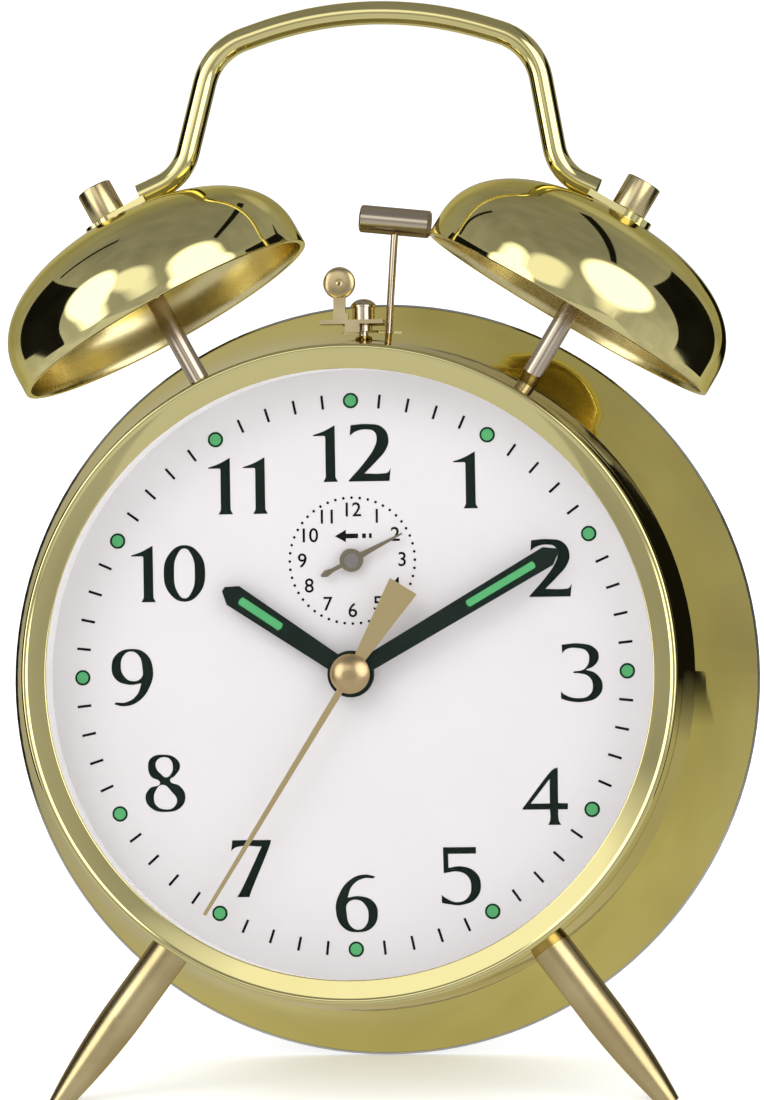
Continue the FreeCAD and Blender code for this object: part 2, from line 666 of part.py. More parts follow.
def stop_lever():
    """Alarm stop lever: a round paddle, a neck and a flat base that turns about its rivet."""
    x, y = LEVER_PIVOT
    px, pz = LEVER_PADDLE
    front = y - 2.7
    shelf_top = LEVER_SHELF + LEVER_SHEET
    base = Part.makeBox(6.4, 4.8, LEVER_SHEET, Vector(x - 3.2, front, LEVER_SHELF))
    arm = Part.makeBox(3.2, 2.2, LEVER_SHEET, Vector(x - 6.3, front, LEVER_SHELF))
    lug = Part.makeBox(2.2, LEVER_SHEET, shelf_top - LEVER_LUG, Vector(x - 2.5, front, LEVER_LUG))
    shoulder = Part.makeBox(2.2, LEVER_SHEET, 1.0, Vector(px - 0.9, front, shelf_top))
    neck = Part.makeBox(1.8, LEVER_SHEET, pz - shelf_top, Vector(px - 0.9, front, shelf_top))
    paddle = Part.makeCylinder(
        LEVER_PADDLE_RADIUS, LEVER_SHEET, Vector(px, front, pz), Vector(0, 1, 0))
    body = fuse_all([base, arm, lug, shoulder, neck, paddle])
    return body.cut(Part.makeCylinder(0.75, 4, Vector(x, y, LEVER_SHELF - 2)))


def stop_lever_rivet():
    """Domed rivet, with a spacer collar, on which the stop lever turns."""
    x, y = LEVER_PIVOT
    top = LEVER_SHELF + LEVER_SHEET + 0.05
    bottom = NECK_RADIUS - 2.0
    shank = Part.makeCylinder(0.7, top - bottom, Vector(x, y, bottom))
    collar_base = NECK_RADIUS + 1.9
    collar = Part.makeCylinder(1.3, LEVER_SHELF - 0.05 - collar_base, Vector(x, y, collar_base))
    head = spindle([
        ("line", [(0, 0), (0, 1.65)]),
        ("line", [(0, 1.65), (1.95, 1.65)]),
        ("line", [(1.95, 1.65), (1.95, 1.95)]),
        ("line", [(1.95, 1.95), (2.2, 1.95)]),
        ("arc", [(2.2, 1.95), (2.9, 1.3), (3.2, CROWN_FLAT)]),
        ("line", [(3.2, CROWN_FLAT), (3.2, 0)]),
        ("line", [(3.2, 0), (0, 0)]),
    ])
    head.translate(Vector(x, y, top))
    tail = Part.makeCylinder(1.3, 0.8, Vector(x, y, bottom))
    return fuse_all([shank, collar, head, tail])


# ================================================================ movement frame
def movement_plate(faces, holes):
    """A movement plate with flats at top and bottom."""
    plate = cylinder(CENTRE, faces[0], faces[1], PLATE_RADIUS)
    window = Part.makeBox(
        PLATE_RADIUS * 2, 10, PLATE_HALF_HEIGHT * 2,
        Vector(-PLATE_RADIUS, faces[0] - 5, -PLATE_HALF_HEIGHT))
    plate = plate.common(window)
    for centre, radius in holes:
        plate = plate.cut(cylinder(centre, faces[0] - 1, faces[1] + 1, radius))
    return plate


def pivot_holes():
    """Holes that both plates have in common: the pivots of the arbors."""
    fine = 0.5 + RUNNING_CLEARANCE
    holes = [(centre, fine) for centre in (THIRD, ESCAPE, PALLET, BALANCE)]
    holes.append((HAMMER_PIVOT, 0.6 + RUNNING_CLEARANCE))
    holes.append((ALARM_ESCAPE, fine))
    holes.append((ALARM, 1.1 + RUNNING_CLEARANCE))
    holes.append((MINUTE, 0.8 + RUNNING_CLEARANCE))
    return holes


def front_plate():
    """Front plate of the movement."""
    holes = pivot_holes() + [(CENTRE, CENTRE_ARBOR_RADIUS + RUNNING_CLEARANCE)]
    holes += [(centre, 1.2 + RUNNING_CLEARANCE) for centre in (GREAT, ALARM_GREAT)]
    return movement_plate(FRONT_PLATE, holes)


def rear_plate():
    """Rear plate of the movement; the winding arbors pass through it."""
    holes = pivot_holes() + [(CENTRE, 0.52 + RUNNING_CLEARANCE)]
    holes += [(centre, 2.0 + RUNNING_CLEARANCE) for centre in (GREAT, ALARM_GREAT)]
    holes += [((sx * PILLAR[0], sz * PILLAR[1]), 1.2) for sx in (-1, 1) for sz in (-1, 1)]
    return movement_plate(REAR_PLATE, holes)


def plate_pillars():
    """Four pillars between the plates, with a stud through the rear plate."""
    pillars = []
    for sx in (-1, 1):
        for sz in (-1, 1):
            centre = (sx * PILLAR[0], sz * PILLAR[1])
            body = cylinder(centre, FRONT_PLATE[1], REAR_PLATE[0], PILLAR_RADIUS)
            stud = cylinder(centre, REAR_PLATE[0], REAR_PLATE[1] + 2.0, 1.2)
            pillars.append(body.fuse(stud).removeSplitter())
    return Part.makeCompound(pillars)


def pillar_nuts():
    """Nuts on the four pillar studs."""
    nuts = []
    for sx in (-1, 1):
        for sz in (-1, 1):
            base = Vector(sx * PILLAR[0], REAR_PLATE[1], sz * PILLAR[1])
            nuts.append(hex_ring(base, Vector(0, 1, 0), 2.2, 1.2, 1.6))
    return Part.makeCompound(nuts)


def dial_pillars():
    """Three spacers between the dial and the movement."""
    return Part.makeCompound(
        [cylinder(centre, DIAL_THICKNESS, FRONT_PLATE[0], 1.8) for centre in DIAL_PILLARS])


def back_standoffs():
    """Three threaded posts between the movement and the back cover."""
    posts = []
    for centre in STANDOFFS:
        post = cylinder(centre, REAR_PLATE[1], COVER_DEPTH, 2.0)
        posts.append(post.cut(cylinder(centre, COVER_DEPTH - 4, COVER_DEPTH + 1, 1.2)))
    return Part.makeCompound(posts)


def back_screws():
    """Slotted screws that hold the back cover to the movement."""
    screws = []
    floor_back = COVER_DEPTH + COVER_WALL
    for centre in STANDOFFS:
        shank = cylinder(centre, COVER_DEPTH - 3.5, floor_back, 1.2)
        head = turned([(floor_back, 0), (floor_back, 2.3), (floor_back + 0.7, 2.3),
                       (floor_back + 1.2, 1.8), (floor_back + 1.2, 0)], centre)
        slot = Part.makeBox(
            6, 1, 0.6, Vector(centre[0] - 3, floor_back + 0.6, centre[1] - 0.3))
        screws.append(shank.fuse(head).removeSplitter().cut(slot))
    return Part.makeCompound(screws)


# ================================================================ going train
def great_wheel():
    """Time great wheel, which turns with the winding arbor's click."""
    phase = line_angle(GREAT, CENTRE)
    wheel = gear("great_wheel", GREAT_MODULE, GREAT, 6.8, 7.8, phase, 2.0 + RUNNING_CLEARANCE)
    return spoked(wheel, GREAT, 6.8, 7.8, 10.6, 4.6, spokes=4, spoke_width=2.4)


def centre_wheel():
    """Centre wheel with its pinion, on a hollow arbor that carries the cannon pinion."""
    phase = line_angle(CENTRE, THIRD)
    wheel = gear("centre_wheel", TRAIN_MODULE_CENTRE, CENTRE, 9.2, 10.0, phase, 0)
    wheel = spoked(wheel, CENTRE, 9.2, 10.0, 8.8, 2.6)
    pinion_phase = meshing_phase(
        "great_wheel", line_angle(GREAT, CENTRE), GREAT, "centre_pinion", CENTRE)
    pinion = gear("centre_pinion", GREAT_MODULE, CENTRE, 6.5, 9.2, pinion_phase, 0)
    arbor = cylinder(CENTRE, -2.4, 10.6, CENTRE_ARBOR_RADIUS)
    bore = cylinder(CENTRE, -5, 12, 0.52 + RUNNING_CLEARANCE)
    return fuse_all([wheel, pinion, arbor]).cut(bore)


def cannon_pinion():
    """Cannon pinion: it slips on the centre arbor when the hands are set."""
    phase = line_angle(CENTRE, MINUTE)
    pinion = gear("cannon_pinion", MOTION_MODULE_MINUTE, CENTRE, 2.6, 4.6, phase, 0)
    pipe = cylinder(CENTRE, -3.4, 4.6, CANNON_RADIUS)
    bore = cylinder(CENTRE, -5, 6, CENTRE_ARBOR_RADIUS + RUNNING_CLEARANCE)
    return fuse_all([pinion, pipe]).cut(bore)


def third_wheel():
    """Third wheel and pinion."""
    pinion_phase = meshing_phase(
        "centre_wheel", line_angle(CENTRE, THIRD), CENTRE, "third_pinion", THIRD)
    pinion = gear("third_pinion", TRAIN_MODULE_CENTRE, THIRD, 8.7, 11.6, pinion_phase, 0)
    wheel_phase = line_angle(THIRD, CENTRE)
    wheel = gear("third_wheel", TRAIN_MODULE_THIRD, THIRD, 11.6, 12.4, wheel_phase, 0)
    wheel = spoked(wheel, THIRD, 11.6, 12.4, 8.8, 2.4)
    return fuse_all([wheel, pinion, arbor_between_plates(THIRD, 0.6, 0.5)])


def fourth_wheel():
    """Fourth wheel and pinion on the arbor of the seconds hand."""
    pinion_phase = meshing_phase(
        "third_wheel", line_angle(THIRD, CENTRE), THIRD, "fourth_pinion", CENTRE)
    pinion = gear("fourth_pinion", TRAIN_MODULE_THIRD, CENTRE, 11.2, 13.6, pinion_phase, 0)
    wheel_phase = line_angle(CENTRE, ESCAPE)
    wheel = gear("fourth_wheel", TRAIN_MODULE_FOURTH, CENTRE, 13.6, 14.4, wheel_phase, 0)
    wheel = spoked(wheel, CENTRE, 13.6, 14.4, 8.8, 2.2)
    arbor = cylinder(CENTRE, -4.0, REAR_PLATE[1], 0.52)
    return fuse_all([wheel, pinion, arbor])


def escape_wheel():
    """Escape wheel and pinion."""
    pinion_phase = meshing_phase(
        "fourth_wheel", line_angle(CENTRE, ESCAPE), CENTRE, "escape_pinion", ESCAPE)
    pinion = gear("escape_pinion", TRAIN_MODULE_FOURTH, ESCAPE, 13.2, 15.4, pinion_phase, 0)
    wheel = pointed_wheel(ESCAPE_TEETH, ESCAPE_RADIUS, 1.5, ESCAPE, 16.6, 17.2, 0.4, 0.12)
    return fuse_all([wheel, pinion, arbor_between_plates(ESCAPE, 0.6, 0.5)])


def pallet_lever():
    """Pallet lever: two pallet pins beside the escape wheel and a fork towards the balance."""
    to_wheel = line_angle(PALLET, ESCAPE)
    to_balance = line_angle(PALLET, BALANCE)
    anchor = flat_shape([
        polar(PALLET, 1.2, to_wheel + 90), polar(PALLET, 5.0, to_wheel + 52),
        polar(PALLET, 5.9, to_wheel + 45), polar(PALLET, 1.3, to_wheel),
        polar(PALLET, 5.9, to_wheel - 45), polar(PALLET, 5.0, to_wheel - 52),
        polar(PALLET, 1.2, to_wheel - 90), polar(PALLET, 1.2, to_wheel + 180),
    ], 18.0, 18.6)
    pins = []
    for sign in (-1, 1):
        pins.append(cylinder(polar(PALLET, 5.35, to_wheel + sign * 48), 16.4, 18.2, 0.25))
    fork = flat_shape([
        polar(PALLET, 1.0, to_balance + 90), polar(PALLET, 6.6, to_balance + 9),
        polar(PALLET, 6.4, to_balance + 3), polar(PALLET, 5.4, to_balance),
        polar(PALLET, 6.4, to_balance - 3), polar(PALLET, 6.6, to_balance - 9),
        polar(PALLET, 1.0, to_balance - 90),
    ], 18.0, 18.6)
    return fuse_all([anchor, fork, arbor_between_plates(PALLET, 0.6, 0.5)] + pins)


def balance_wheel():
    """Balance wheel with two arms, its staff and the roller table."""
    rim = tube(BALANCE, 21.6, 22.8, 8.3, 6.9)
    arm = Part.makeBox(15.0, 0.8, 1.6, Vector(BALANCE[0] - 7.5, 21.8, BALANCE[1] - 0.8))
    staff = arbor_between_plates(BALANCE, 0.7, 0.5)
    roller = cylinder(BALANCE, 19.2, 19.8, 2.4)
    return fuse_all([rim, arm, staff, roller])


def hairspring():
    """Hairspring around the balance staff."""
    return spiral_strip(BALANCE, 23.4, 24.2, 1.4, 5.0, 6, 0.16)


def time_mainspring():
    """Open-coil mainspring of the going train."""
    return spiral_strip(GREAT, 16.0, 24.0, 3.0, 13.0, 7, 0.35)


def alarm_mainspring():
    """Open-coil mainspring of the alarm train."""
    return spiral_strip(ALARM_GREAT, 16.0, 24.0, 3.0, 11.4, 6, 0.35)


def winding_arbor(centre):
    """Winding arbor with its ratchet wheel, square end and a pivot in the front plate."""
    body = cylinder(centre, FRONT_PLATE[1] + 0.15, 46.0, 2.0)
    pivot = cylinder(centre, FRONT_PLATE[0], FRONT_PLATE[1] + 0.5, 1.2)
    points = []
    for tooth in range(16):
        points.append(polar(centre, 4.1, tooth * 22.5))
        points.append(polar(centre, 3.4, tooth * 22.5 + 3))
    ratchet = flat_shape(points, 8.2, 9.0)
    return fuse_all([body, pivot, ratchet])


def winding_key(centre, tilt):
    """Winged key, screwed on the end of a winding arbor."""
    hub = turned([(39.6, 0), (39.6, 3.1), (44.6, 3.1), (45.4, 2.7), (47.4, 2.4), (47.4, 0)], centre)
    wing = Part.makeBox(13.0, 8.0, 1.3, Vector(-6.5, 42.6, -0.65))
    ears = []
    for sign in (-1, 1):
        ear = Part.makeCylinder(4.6, 1.3, Vector(sign * 5.4, 47.6, -0.65))
        ears.append(ear)
    blade = fuse_all([wing] + ears)
    for sign in (-1, 1):
        blade = blade.cut(Part.makeCylinder(1.7, 4, Vector(sign * 5.8, 48.0, -2)))
    blade.rotate(Vector(0, 0, 0), Vector(0, 1, 0), tilt)
    blade.translate(Vector(centre[0], 0, centre[1]))
    return hub.fuse(blade).removeSplitter().cut(cylinder(centre, 38, 46.0, 2.0))


# ================================================================ motion work and alarm setting
def hour_phase():
    """Phase of the hour wheel, set by its mesh with the minute pinion."""
    return meshing_phase("minute_pinion", line_angle(MINUTE, CENTRE), MINUTE, "hour_wheel", CENTRE)


def minute_wheel():
    """Minute wheel and pinion on the hand-setting arbor that runs back to its knob."""
    phase = meshing_phase(
        "cannon_pinion", line_angle(CENTRE, MINUTE), CENTRE, "minute_wheel", MINUTE)
    wheel = gear("minute_wheel", MOTION_MODULE_MINUTE, MINUTE, 3.2, 4.0, phase, 0)
    wheel = spoked(wheel, MINUTE, 3.2, 4.0, 8.6, 5.2)
    pinion = gear(
        "minute_pinion", MOTION_MODULE_HOUR, MINUTE, 1.1, 3.2, line_angle(MINUTE, CENTRE), 0)
    return fuse_all([wheel, pinion]).cut(cylinder(MINUTE, 0, 6, 0.8))


def hour_wheel():
    """Hour wheel with the pipe that carries the hour hand."""
    wheel = gear("hour_wheel", MOTION_MODULE_HOUR, CENTRE, 1.3, 2.1, hour_phase(), 0)
    wheel = spoked(wheel, CENTRE, 1.3, 2.1, 6.4, 3.0)
    pipe = cylinder(CENTRE, -2.2, 2.4, 1.65)
    return fuse_all([wheel, pipe]).cut(cylinder(CENTRE, -4, 4, CANNON_RADIUS + RUNNING_CLEARANCE))


def alarm_wheel():
    """Alarm wheel, driven by the hour wheel and free on the alarm arbor."""
    phase = meshing_phase("hour_wheel", hour_phase(), CENTRE, "alarm_wheel", ALARM)
    wheel = gear("alarm_wheel", MOTION_MODULE_HOUR, ALARM, 1.3, 2.1, phase, 0)
    wheel = spoked(wheel, ALARM, 1.3, 2.1, 6.4, 2.6)
    return wheel.cut(cylinder(ALARM, 0, 4, 1.1 + RUNNING_CLEARANCE))


def setting_arbor(centre, start, radius):
    """Long arbor from the motion work back through both plates and the back cover."""
    return cylinder(centre, start, 41.5, radius)


def alarm_arbor():
    """Alarm-setting arbor with the cam that releases the alarm."""
    arbor = setting_arbor(ALARM, -1.3, 1.1)
    cam = cylinder(ALARM, 2.6, 3.4, 2.6).cut(cylinder(polar(ALARM, 2.6, 200), 2, 4, 0.8))
    return arbor.fuse(cam).removeSplitter()


def setting_knob(centre, radius, grooves, arbor_radius):
    """Knurled knob on the end of a setting arbor."""
    knob = turned([(39.4, 0), (39.4, radius - 1.0), (40.2, radius), (43.4, radius),
                   (44.0, radius - 0.6), (44.0, 0)], centre)
    cuts = []
    for groove in range(grooves):
        at = polar(centre, radius + 0.18, 360 / grooves * groove)
        cuts.append(cylinder(at, 39.0, 44.4, 0.42))
    knob = knob.cut(Part.makeCompound(cuts))
    return knob.cut(cylinder(centre, 38, 41.5, arbor_radius))


def alarm_great_wheel():
    """Great wheel of the alarm train."""
    phase = line_angle(ALARM_GREAT, ALARM_ESCAPE)
    wheel = gear("alarm_great_wheel", ALARM_MODULE, ALARM_GREAT, 6.8, 7.8, phase,
                 2.0 + RUNNING_CLEARANCE)
    return spoked(wheel, ALARM_GREAT, 6.8, 7.8, 11.4, 4.6, spokes=4, spoke_width=2.4)


def alarm_escape_wheel():
    """Striking wheel of the alarm, which rocks the hammer's anchor."""
    phase = meshing_phase(
        "alarm_great_wheel", line_angle(ALARM_GREAT, ALARM_ESCAPE), ALARM_GREAT,
        "alarm_escape_pinion", ALARM_ESCAPE)
    pinion = gear("alarm_escape_pinion", ALARM_MODULE, ALARM_ESCAPE, 6.6, 10.0, phase, 0)
    wheel = pointed_wheel(ALARM_ESCAPE_TEETH, ALARM_ESCAPE_RADIUS - 0.6, 1.3, ALARM_ESCAPE,
                          10.0, 11.0, 0.4, 0.4)
    return fuse_all([wheel, pinion, arbor_between_plates(ALARM_ESCAPE, 0.7, 0.5)])


def regulator_lever():
    """Fast and slow lever, pivoted behind the rear plate, with its tip out of the back."""
    ring = tube(BALANCE, REAR_PLATE[1] + 0.1, REAR_PLATE[1] + 0.9, 2.4, 1.0 + RUNNING_CLEARANCE)
    arm = Part.makeBox(
        11.4, 0.8, 1.8, Vector(BALANCE[0] + 1.8, REAR_PLATE[1] + 0.1, BALANCE[1] - 0.9))
    reach = BALANCE[0] + 12.2
    finger = Part.makeBox(
        1.0, 12.6, 1.8, Vector(reach, REAR_PLATE[1] + 0.1, BALANCE[1] - 0.9))
    lever = fuse_all([ring, arm, finger])
    lever.rotate(Vector(BALANCE[0], 0, BALANCE[1]), Vector(0, 1, 0), 60)
    return lever


def regulator_stud():
    """Stud on the rear plate on which the regulator turns."""
    return cylinder(BALANCE, REAR_PLATE[1], REAR_PLATE[1] + 1.1, 1.0).cut(
        cylinder(BALANCE, REAR_PLATE[1] - 1, REAR_PLATE[1] + 0.6, 0.5 + RUNNING_CLEARANCE))


def regulator_slot():
    """Curved slot in the back cover for the regulator's tip."""
    ring = tube(BALANCE, COVER_DEPTH - 1, COVER_DEPTH + 2, 14.0, 11.4)
    wedge = flat_shape([
        BALANCE, polar(BALANCE, 30, -60 + 26), polar(BALANCE, 30, -60 - 26),
    ], COVER_DEPTH - 1, COVER_DEPTH + 2)
    return ring.common(wedge)


# ================================================================ hands
def hand_outline(length, tip_half, hub_half, point):
    """Outline of a baton hand that widens towards a blunt pointed tip, along +Z."""
    blunt = tip_half * 0.22
    return [(-hub_half, 0), (-tip_half, length - point), (-blunt, length), (blunt, length),
            (tip_half, length - point), (hub_half, 0)]


def placed_hand(shape, angle):
    """Turns a hand that points to twelve to its clockwise angle."""
    shape.rotate(Vector(0, 0, 0), Vector(0, 1, 0), angle)
    return shape


def hour_hand():
    """Hour hand, pressed on the hour pipe."""
    blade = flat_shape(hand_outline(22.6, 1.65, 1.25, 1.7), -2.2, -1.85)
    hub = cylinder(CENTRE, -2.2, -1.5, 3.1)
    return placed_hand(fuse_all([blade, hub]).cut(cylinder(CENTRE, -4, 2, 1.65)), HOUR_HAND_ANGLE)


def minute_hand():
    """Minute hand, pressed on the cannon pinion's pipe."""
    blade = flat_shape(hand_outline(35.0, 1.5, 1.15, 1.6), -3.4, -3.05)
    hub = cylinder(CENTRE, -3.4, -2.7, 3.4)
    shape = fuse_all([blade, hub]).cut(cylinder(CENTRE, -5, 2, CANNON_RADIUS))
    return placed_hand(shape, MINUTE_HAND_ANGLE)


def second_hand():
    """Slender seconds hand with a flared tail."""
    blade = flat_shape([(-0.5, 0), (-0.26, 41.0), (0.26, 41.0), (0.5, 0)], -4.0, -3.75)
    tail = flat_shape([(-0.55, 0), (0.55, 0), (2.3, -14.9), (-2.3, -14.9)], -4.0, -3.75)
    hub = cylinder(CENTRE, -4.0, -3.75, 2.4)
    shape = fuse_all([blade, tail, hub]).cut(cylinder(CENTRE, -6, 2, 0.52))
    return placed_hand(shape, SECOND_HAND_ANGLE)


def hand_cap():
    """Domed cap over the seconds hand's hub."""
    cap = spindle([
        ("line", [(0, 0), (0, 2.9)]), ("line", [(0, 2.9), (0.25, 2.9)]),
        ("arc", [(0.25, 2.9), (0.95, 1.9), (1.3, CROWN_FLAT)]),
        ("line", [(1.3, CROWN_FLAT), (1.3, 0)]), ("line", [(1.3, 0), (0, 0)]),
    ])
    return stand_along(cap, Vector(0, -4.0, 0), Vector(0, -1, 0))


def alarm_hand():
    """Alarm hand with a ring hub and a tail that swells near its end."""
    blade = flat_shape(
        [(-0.5, 0), (-0.32, 4.0), (-0.12, 8.4), (0.12, 8.4), (0.32, 4.0), (0.5, 0)], -1.3, -1.0)
    tail = flat_shape([(-0.3, 0), (0.3, 0), (0.3, -3.1), (0.52, -4.2), (0.15, -5.0),
                       (-0.15, -5.0), (-0.52, -4.2), (-0.3, -3.1)], -1.3, -1.0)
    hub = cylinder(CENTRE, -1.45, -0.95, 1.7)
    shape = placed_hand(fuse_all([blade, tail, hub]), ALARM_HAND_ANGLE)
    shape.translate(Vector(ALARM[0], 0, ALARM[1]))
    return shape.cut(cylinder(ALARM, -3, 2, 1.1))


# ================================================================ the whole clock
def all_pieces():
    """Every node of the clock, in the clock's own frame."""
    pieces = {
        "case_shell": case_shell(), "bezel_ring": bezel_ring(), "glass_lens": glass_lens(),
        "dial_ring": dial_ring(), "dial_plate": dial_plate(), "back_cover": back_cover(),
        "back_screws": back_screws(), "back_standoffs": back_standoffs(),
        "foot_left": foot(-1), "foot_right": foot(1), "foot_nuts": foot_nuts(),
        "post_nuts": post_nuts(), "carry_handle": carry_handle(),
        "hammer_head": hammer_head(), "hammer_wire": hammer_wire(),
        "hammer_arbor": hammer_arbor(), "stop_lever": stop_lever(),
        "stop_lever_rivet": stop_lever_rivet(), "front_plate": front_plate(),
        "rear_plate": rear_plate(), "plate_pillars": plate_pillars(),
        "pillar_nuts": pillar_nuts(), "dial_pillars": dial_pillars(),
        "great_wheel": great_wheel(), "centre_wheel": centre_wheel(),
        "cannon_pinion": cannon_pinion(), "third_wheel": third_wheel(),
        "fourth_wheel": fourth_wheel(), "escape_wheel": escape_wheel(),
        "pallet_lever": pallet_lever(), "balance_wheel": balance_wheel(),
        "hairspring": hairspring(), "time_mainspring": time_mainspring(),
        "alarm_mainspring": alarm_mainspring(), "time_winding_arbor": winding_arbor(GREAT),
        "alarm_winding_arbor": winding_arbor(ALARM_GREAT), "time_key": winding_key(GREAT, 20),
        "alarm_key": winding_key(ALARM_GREAT, -15), "minute_wheel": minute_wheel(),
        "hand_setting_arbor": setting_arbor(MINUTE, 1.1, 0.8), "hour_wheel": hour_wheel(),
        "alarm_wheel": alarm_wheel(), "alarm_arbor": alarm_arbor(),
        "hand_setting_knob": setting_knob(MINUTE, 4.4, 24, 0.8),
        "alarm_setting_knob": setting_knob(ALARM, 4.0, 22, 1.1),
        "alarm_great_wheel": alarm_great_wheel(), "alarm_escape_wheel": alarm_escape_wheel(),
        "regulator_lever": regulator_lever(), "regulator_stud": regulator_stud(),
        "hour_hand": hour_hand(), "minute_hand": minute_hand(), "second_hand": second_hand(),
        "hand_cap": hand_cap(), "alarm_hand": alarm_hand(),
    }
    for side in BELLS:
        pieces["bell_" + side] = bell(side)
        pieces["bell_post_" + side] = bell_post(side)
        pieces["bell_nut_" + side] = bell_nut(side)
    return pieces


def lean_back(shape):
    """Leans a piece back about the X axis."""
    leaned = shape.copy()
    leaned.rotate(Vector(0, 0, 0), Vector(1, 0, 0), -lean_angle())
    return leaned


def standing_offset(shapes):
    """Translation that puts the origin at the bottom centre of the whole clock's box."""
    box = Part.makeCompound(shapes).optimalBoundingBox(False, False)
    return Vector(-(box.XMin + box.XMax) / 2, -(box.YMin + box.YMax) / 2, -box.ZMin)


def standing_clock():
    """Every piece in the row's frame, and the translation that was used."""
    leaned = {name: lean_back(shape) for name, shape in all_pieces().items()}
    offset = standing_offset(list(leaned.values()))
    for shape in leaned.values():
        shape.translate(offset)
    return leaned, offset


PIECES, OFFSET = standing_clock()
os.makedirs("parts", exist_ok=True)
for NODE, SHAPE in PIECES.items():
    SHAPE.exportStep("parts/" + NODE + ".step")
print(len(PIECES), "pieces; lean", round(lean_angle(), 3), "degrees; offset", tuple(OFFSET))
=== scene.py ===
"""Looks of the twin-bell alarm clock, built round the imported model.

Places on the clock are given in the clock's own frame: millimetres from the dial's centre, X to the
viewer's right, Y back through the case, Z towards twelve. clock() turns them into scene metres.
"""

import json
import math

import bpy
from mathutils import Matrix, Vector

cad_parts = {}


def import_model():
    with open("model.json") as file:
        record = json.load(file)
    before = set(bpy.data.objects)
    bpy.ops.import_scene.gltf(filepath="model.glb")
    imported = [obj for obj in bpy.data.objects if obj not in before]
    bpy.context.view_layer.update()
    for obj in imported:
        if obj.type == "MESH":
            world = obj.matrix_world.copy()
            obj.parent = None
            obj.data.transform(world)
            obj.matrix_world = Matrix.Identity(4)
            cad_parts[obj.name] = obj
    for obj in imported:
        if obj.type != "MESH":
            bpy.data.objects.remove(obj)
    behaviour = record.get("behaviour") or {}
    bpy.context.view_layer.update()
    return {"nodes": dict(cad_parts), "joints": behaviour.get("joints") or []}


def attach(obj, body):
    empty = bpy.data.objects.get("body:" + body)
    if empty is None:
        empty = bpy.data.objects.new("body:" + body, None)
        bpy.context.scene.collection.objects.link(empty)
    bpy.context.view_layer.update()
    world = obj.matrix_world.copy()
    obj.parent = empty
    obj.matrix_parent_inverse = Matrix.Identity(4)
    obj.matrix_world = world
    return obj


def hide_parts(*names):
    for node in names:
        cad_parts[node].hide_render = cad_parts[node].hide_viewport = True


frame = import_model()
NODES = frame["nodes"]
JOINTS = {joint["name"]: joint for joint in frame["joints"]}

# ---------------------------------------------------------------- the clock's own frame
MM = 0.001
DIAL = Vector(JOINTS["minute_hand_turn"]["pos_m"])
BACK = Vector(JOINTS["minute_hand_turn"]["axis"]).normalized()
RIGHT = Vector((1, 0, 0))
UP = RIGHT.cross(BACK)
ROOT = "clock"


def clock(x, y, z):
    """A place on the clock, in scene metres."""
    return DIAL + (RIGHT * x + BACK * y + UP * z) * MM


def facing(columns, depth):
    """Matrix that lays a flat drawing in millimetres on the clock at a depth."""
    matrix = Matrix([[column[row] * MM for column in columns] for row in range(3)]).to_4x4()
    matrix.translation = clock(0, depth, 0)
    return matrix


def facing_front(depth):
    """The matrix of a drawing that is read from the front."""
    return facing((RIGHT, UP, -BACK), depth)


def facing_back(depth):
    """The matrix of a drawing that is read from behind."""
    return facing((-RIGHT, UP, BACK), depth)


# ---------------------------------------------------------------- sizes shared with the CAD model
BELL_PLANE = 18.3
BELL_RADIUS = 23.9
BELL_SKIRT = 3.0
BELL_HEIGHT = 16.9
BELL_FULLNESS = 2.25
BELL_WALL = 0.9
# Each bell has its mouth's x and z, its lean to the side and its lean back, in degrees.
BELLS = {"left": (-30.0, 53.95, -28.5, 0.0), "right": (30.4, 53.5, 31.0, 1.8)}
THREAD_HOLE = 1.22
TAB_THICKNESS = 1.0
NUT_RADIUS = 2.7
NUT_HEIGHT = 5.0
ALARM_HEIGHT = 16.6
MINUTE_HAND_ANGLE = 60.0
HOUR_HAND_ANGLE = 304.0
HOUR_HAND_FRONT = -2.2
MINUTE_HAND_FRONT = -3.4
COVER_BACK = 37.8
PADDLE_CENTRE = (-3.0, 12.2, 58.4)
PADDLE_RADIUS = 2.42
PADDLE_HALF_THICKNESS = 0.55

# ---------------------------------------------------------------- finish of the turned pieces
LATHE_SEGMENTS = 224
BEZEL_SEGMENTS = 900
NUT_SEGMENTS = 96
PADDLE_SEGMENTS = 72
NEAR_AXIS = 0.02
BELL_LIP = 0.18
NUT_EDGE = 0.22
NUT_GROOVE_DEPTH = 0.06
NUT_CROWN = 0.08
BEZEL_EDGE = 0.16
STRAIGHT_DEGREES = 165
CORNER_SHARE = 0.45

# ---------------------------------------------------------------- sizes of the printing
INK_THICKNESS = 0.03
NUMERAL_HEIGHT = 8.3
NUMERAL_CENTRES = [
    (0.1, 32.3), (16.8, 28.1), (29.0, 15.05), (33.35, -0.1), (27.8, -18.05), (15.45, -29.45),
    (0.1, -33.3), (-15.3, -28.15), (-27.9, -15.55), (-32.6, -0.1), (-27.2, 15.1), (-16.7, 27.8),
]
DIGIT_GAPS = {"10": 1.1, "11": 1.4, "12": 1.5}
TRACK_RADIUS = 40.0
TICK_LENGTH = 2.05
TICK_WIDTH = 0.37
DOT_RADIUS = 1.13
DOT_FILL_RADIUS = 0.84
DOT_RISE = 0.12
SUB_DOT_CIRCLE = 9.2
SUB_DOT_RADIUS = 0.2
SUB_DOTS = 48
SUB_DIGIT_CIRCLE = 7.35
SUB_DIGIT_SIZE = 2.9
SUB_DIGIT_BOLDNESS = 0.026
ARROW_HEIGHT = 20.2
ARROW_LINE = 0.34
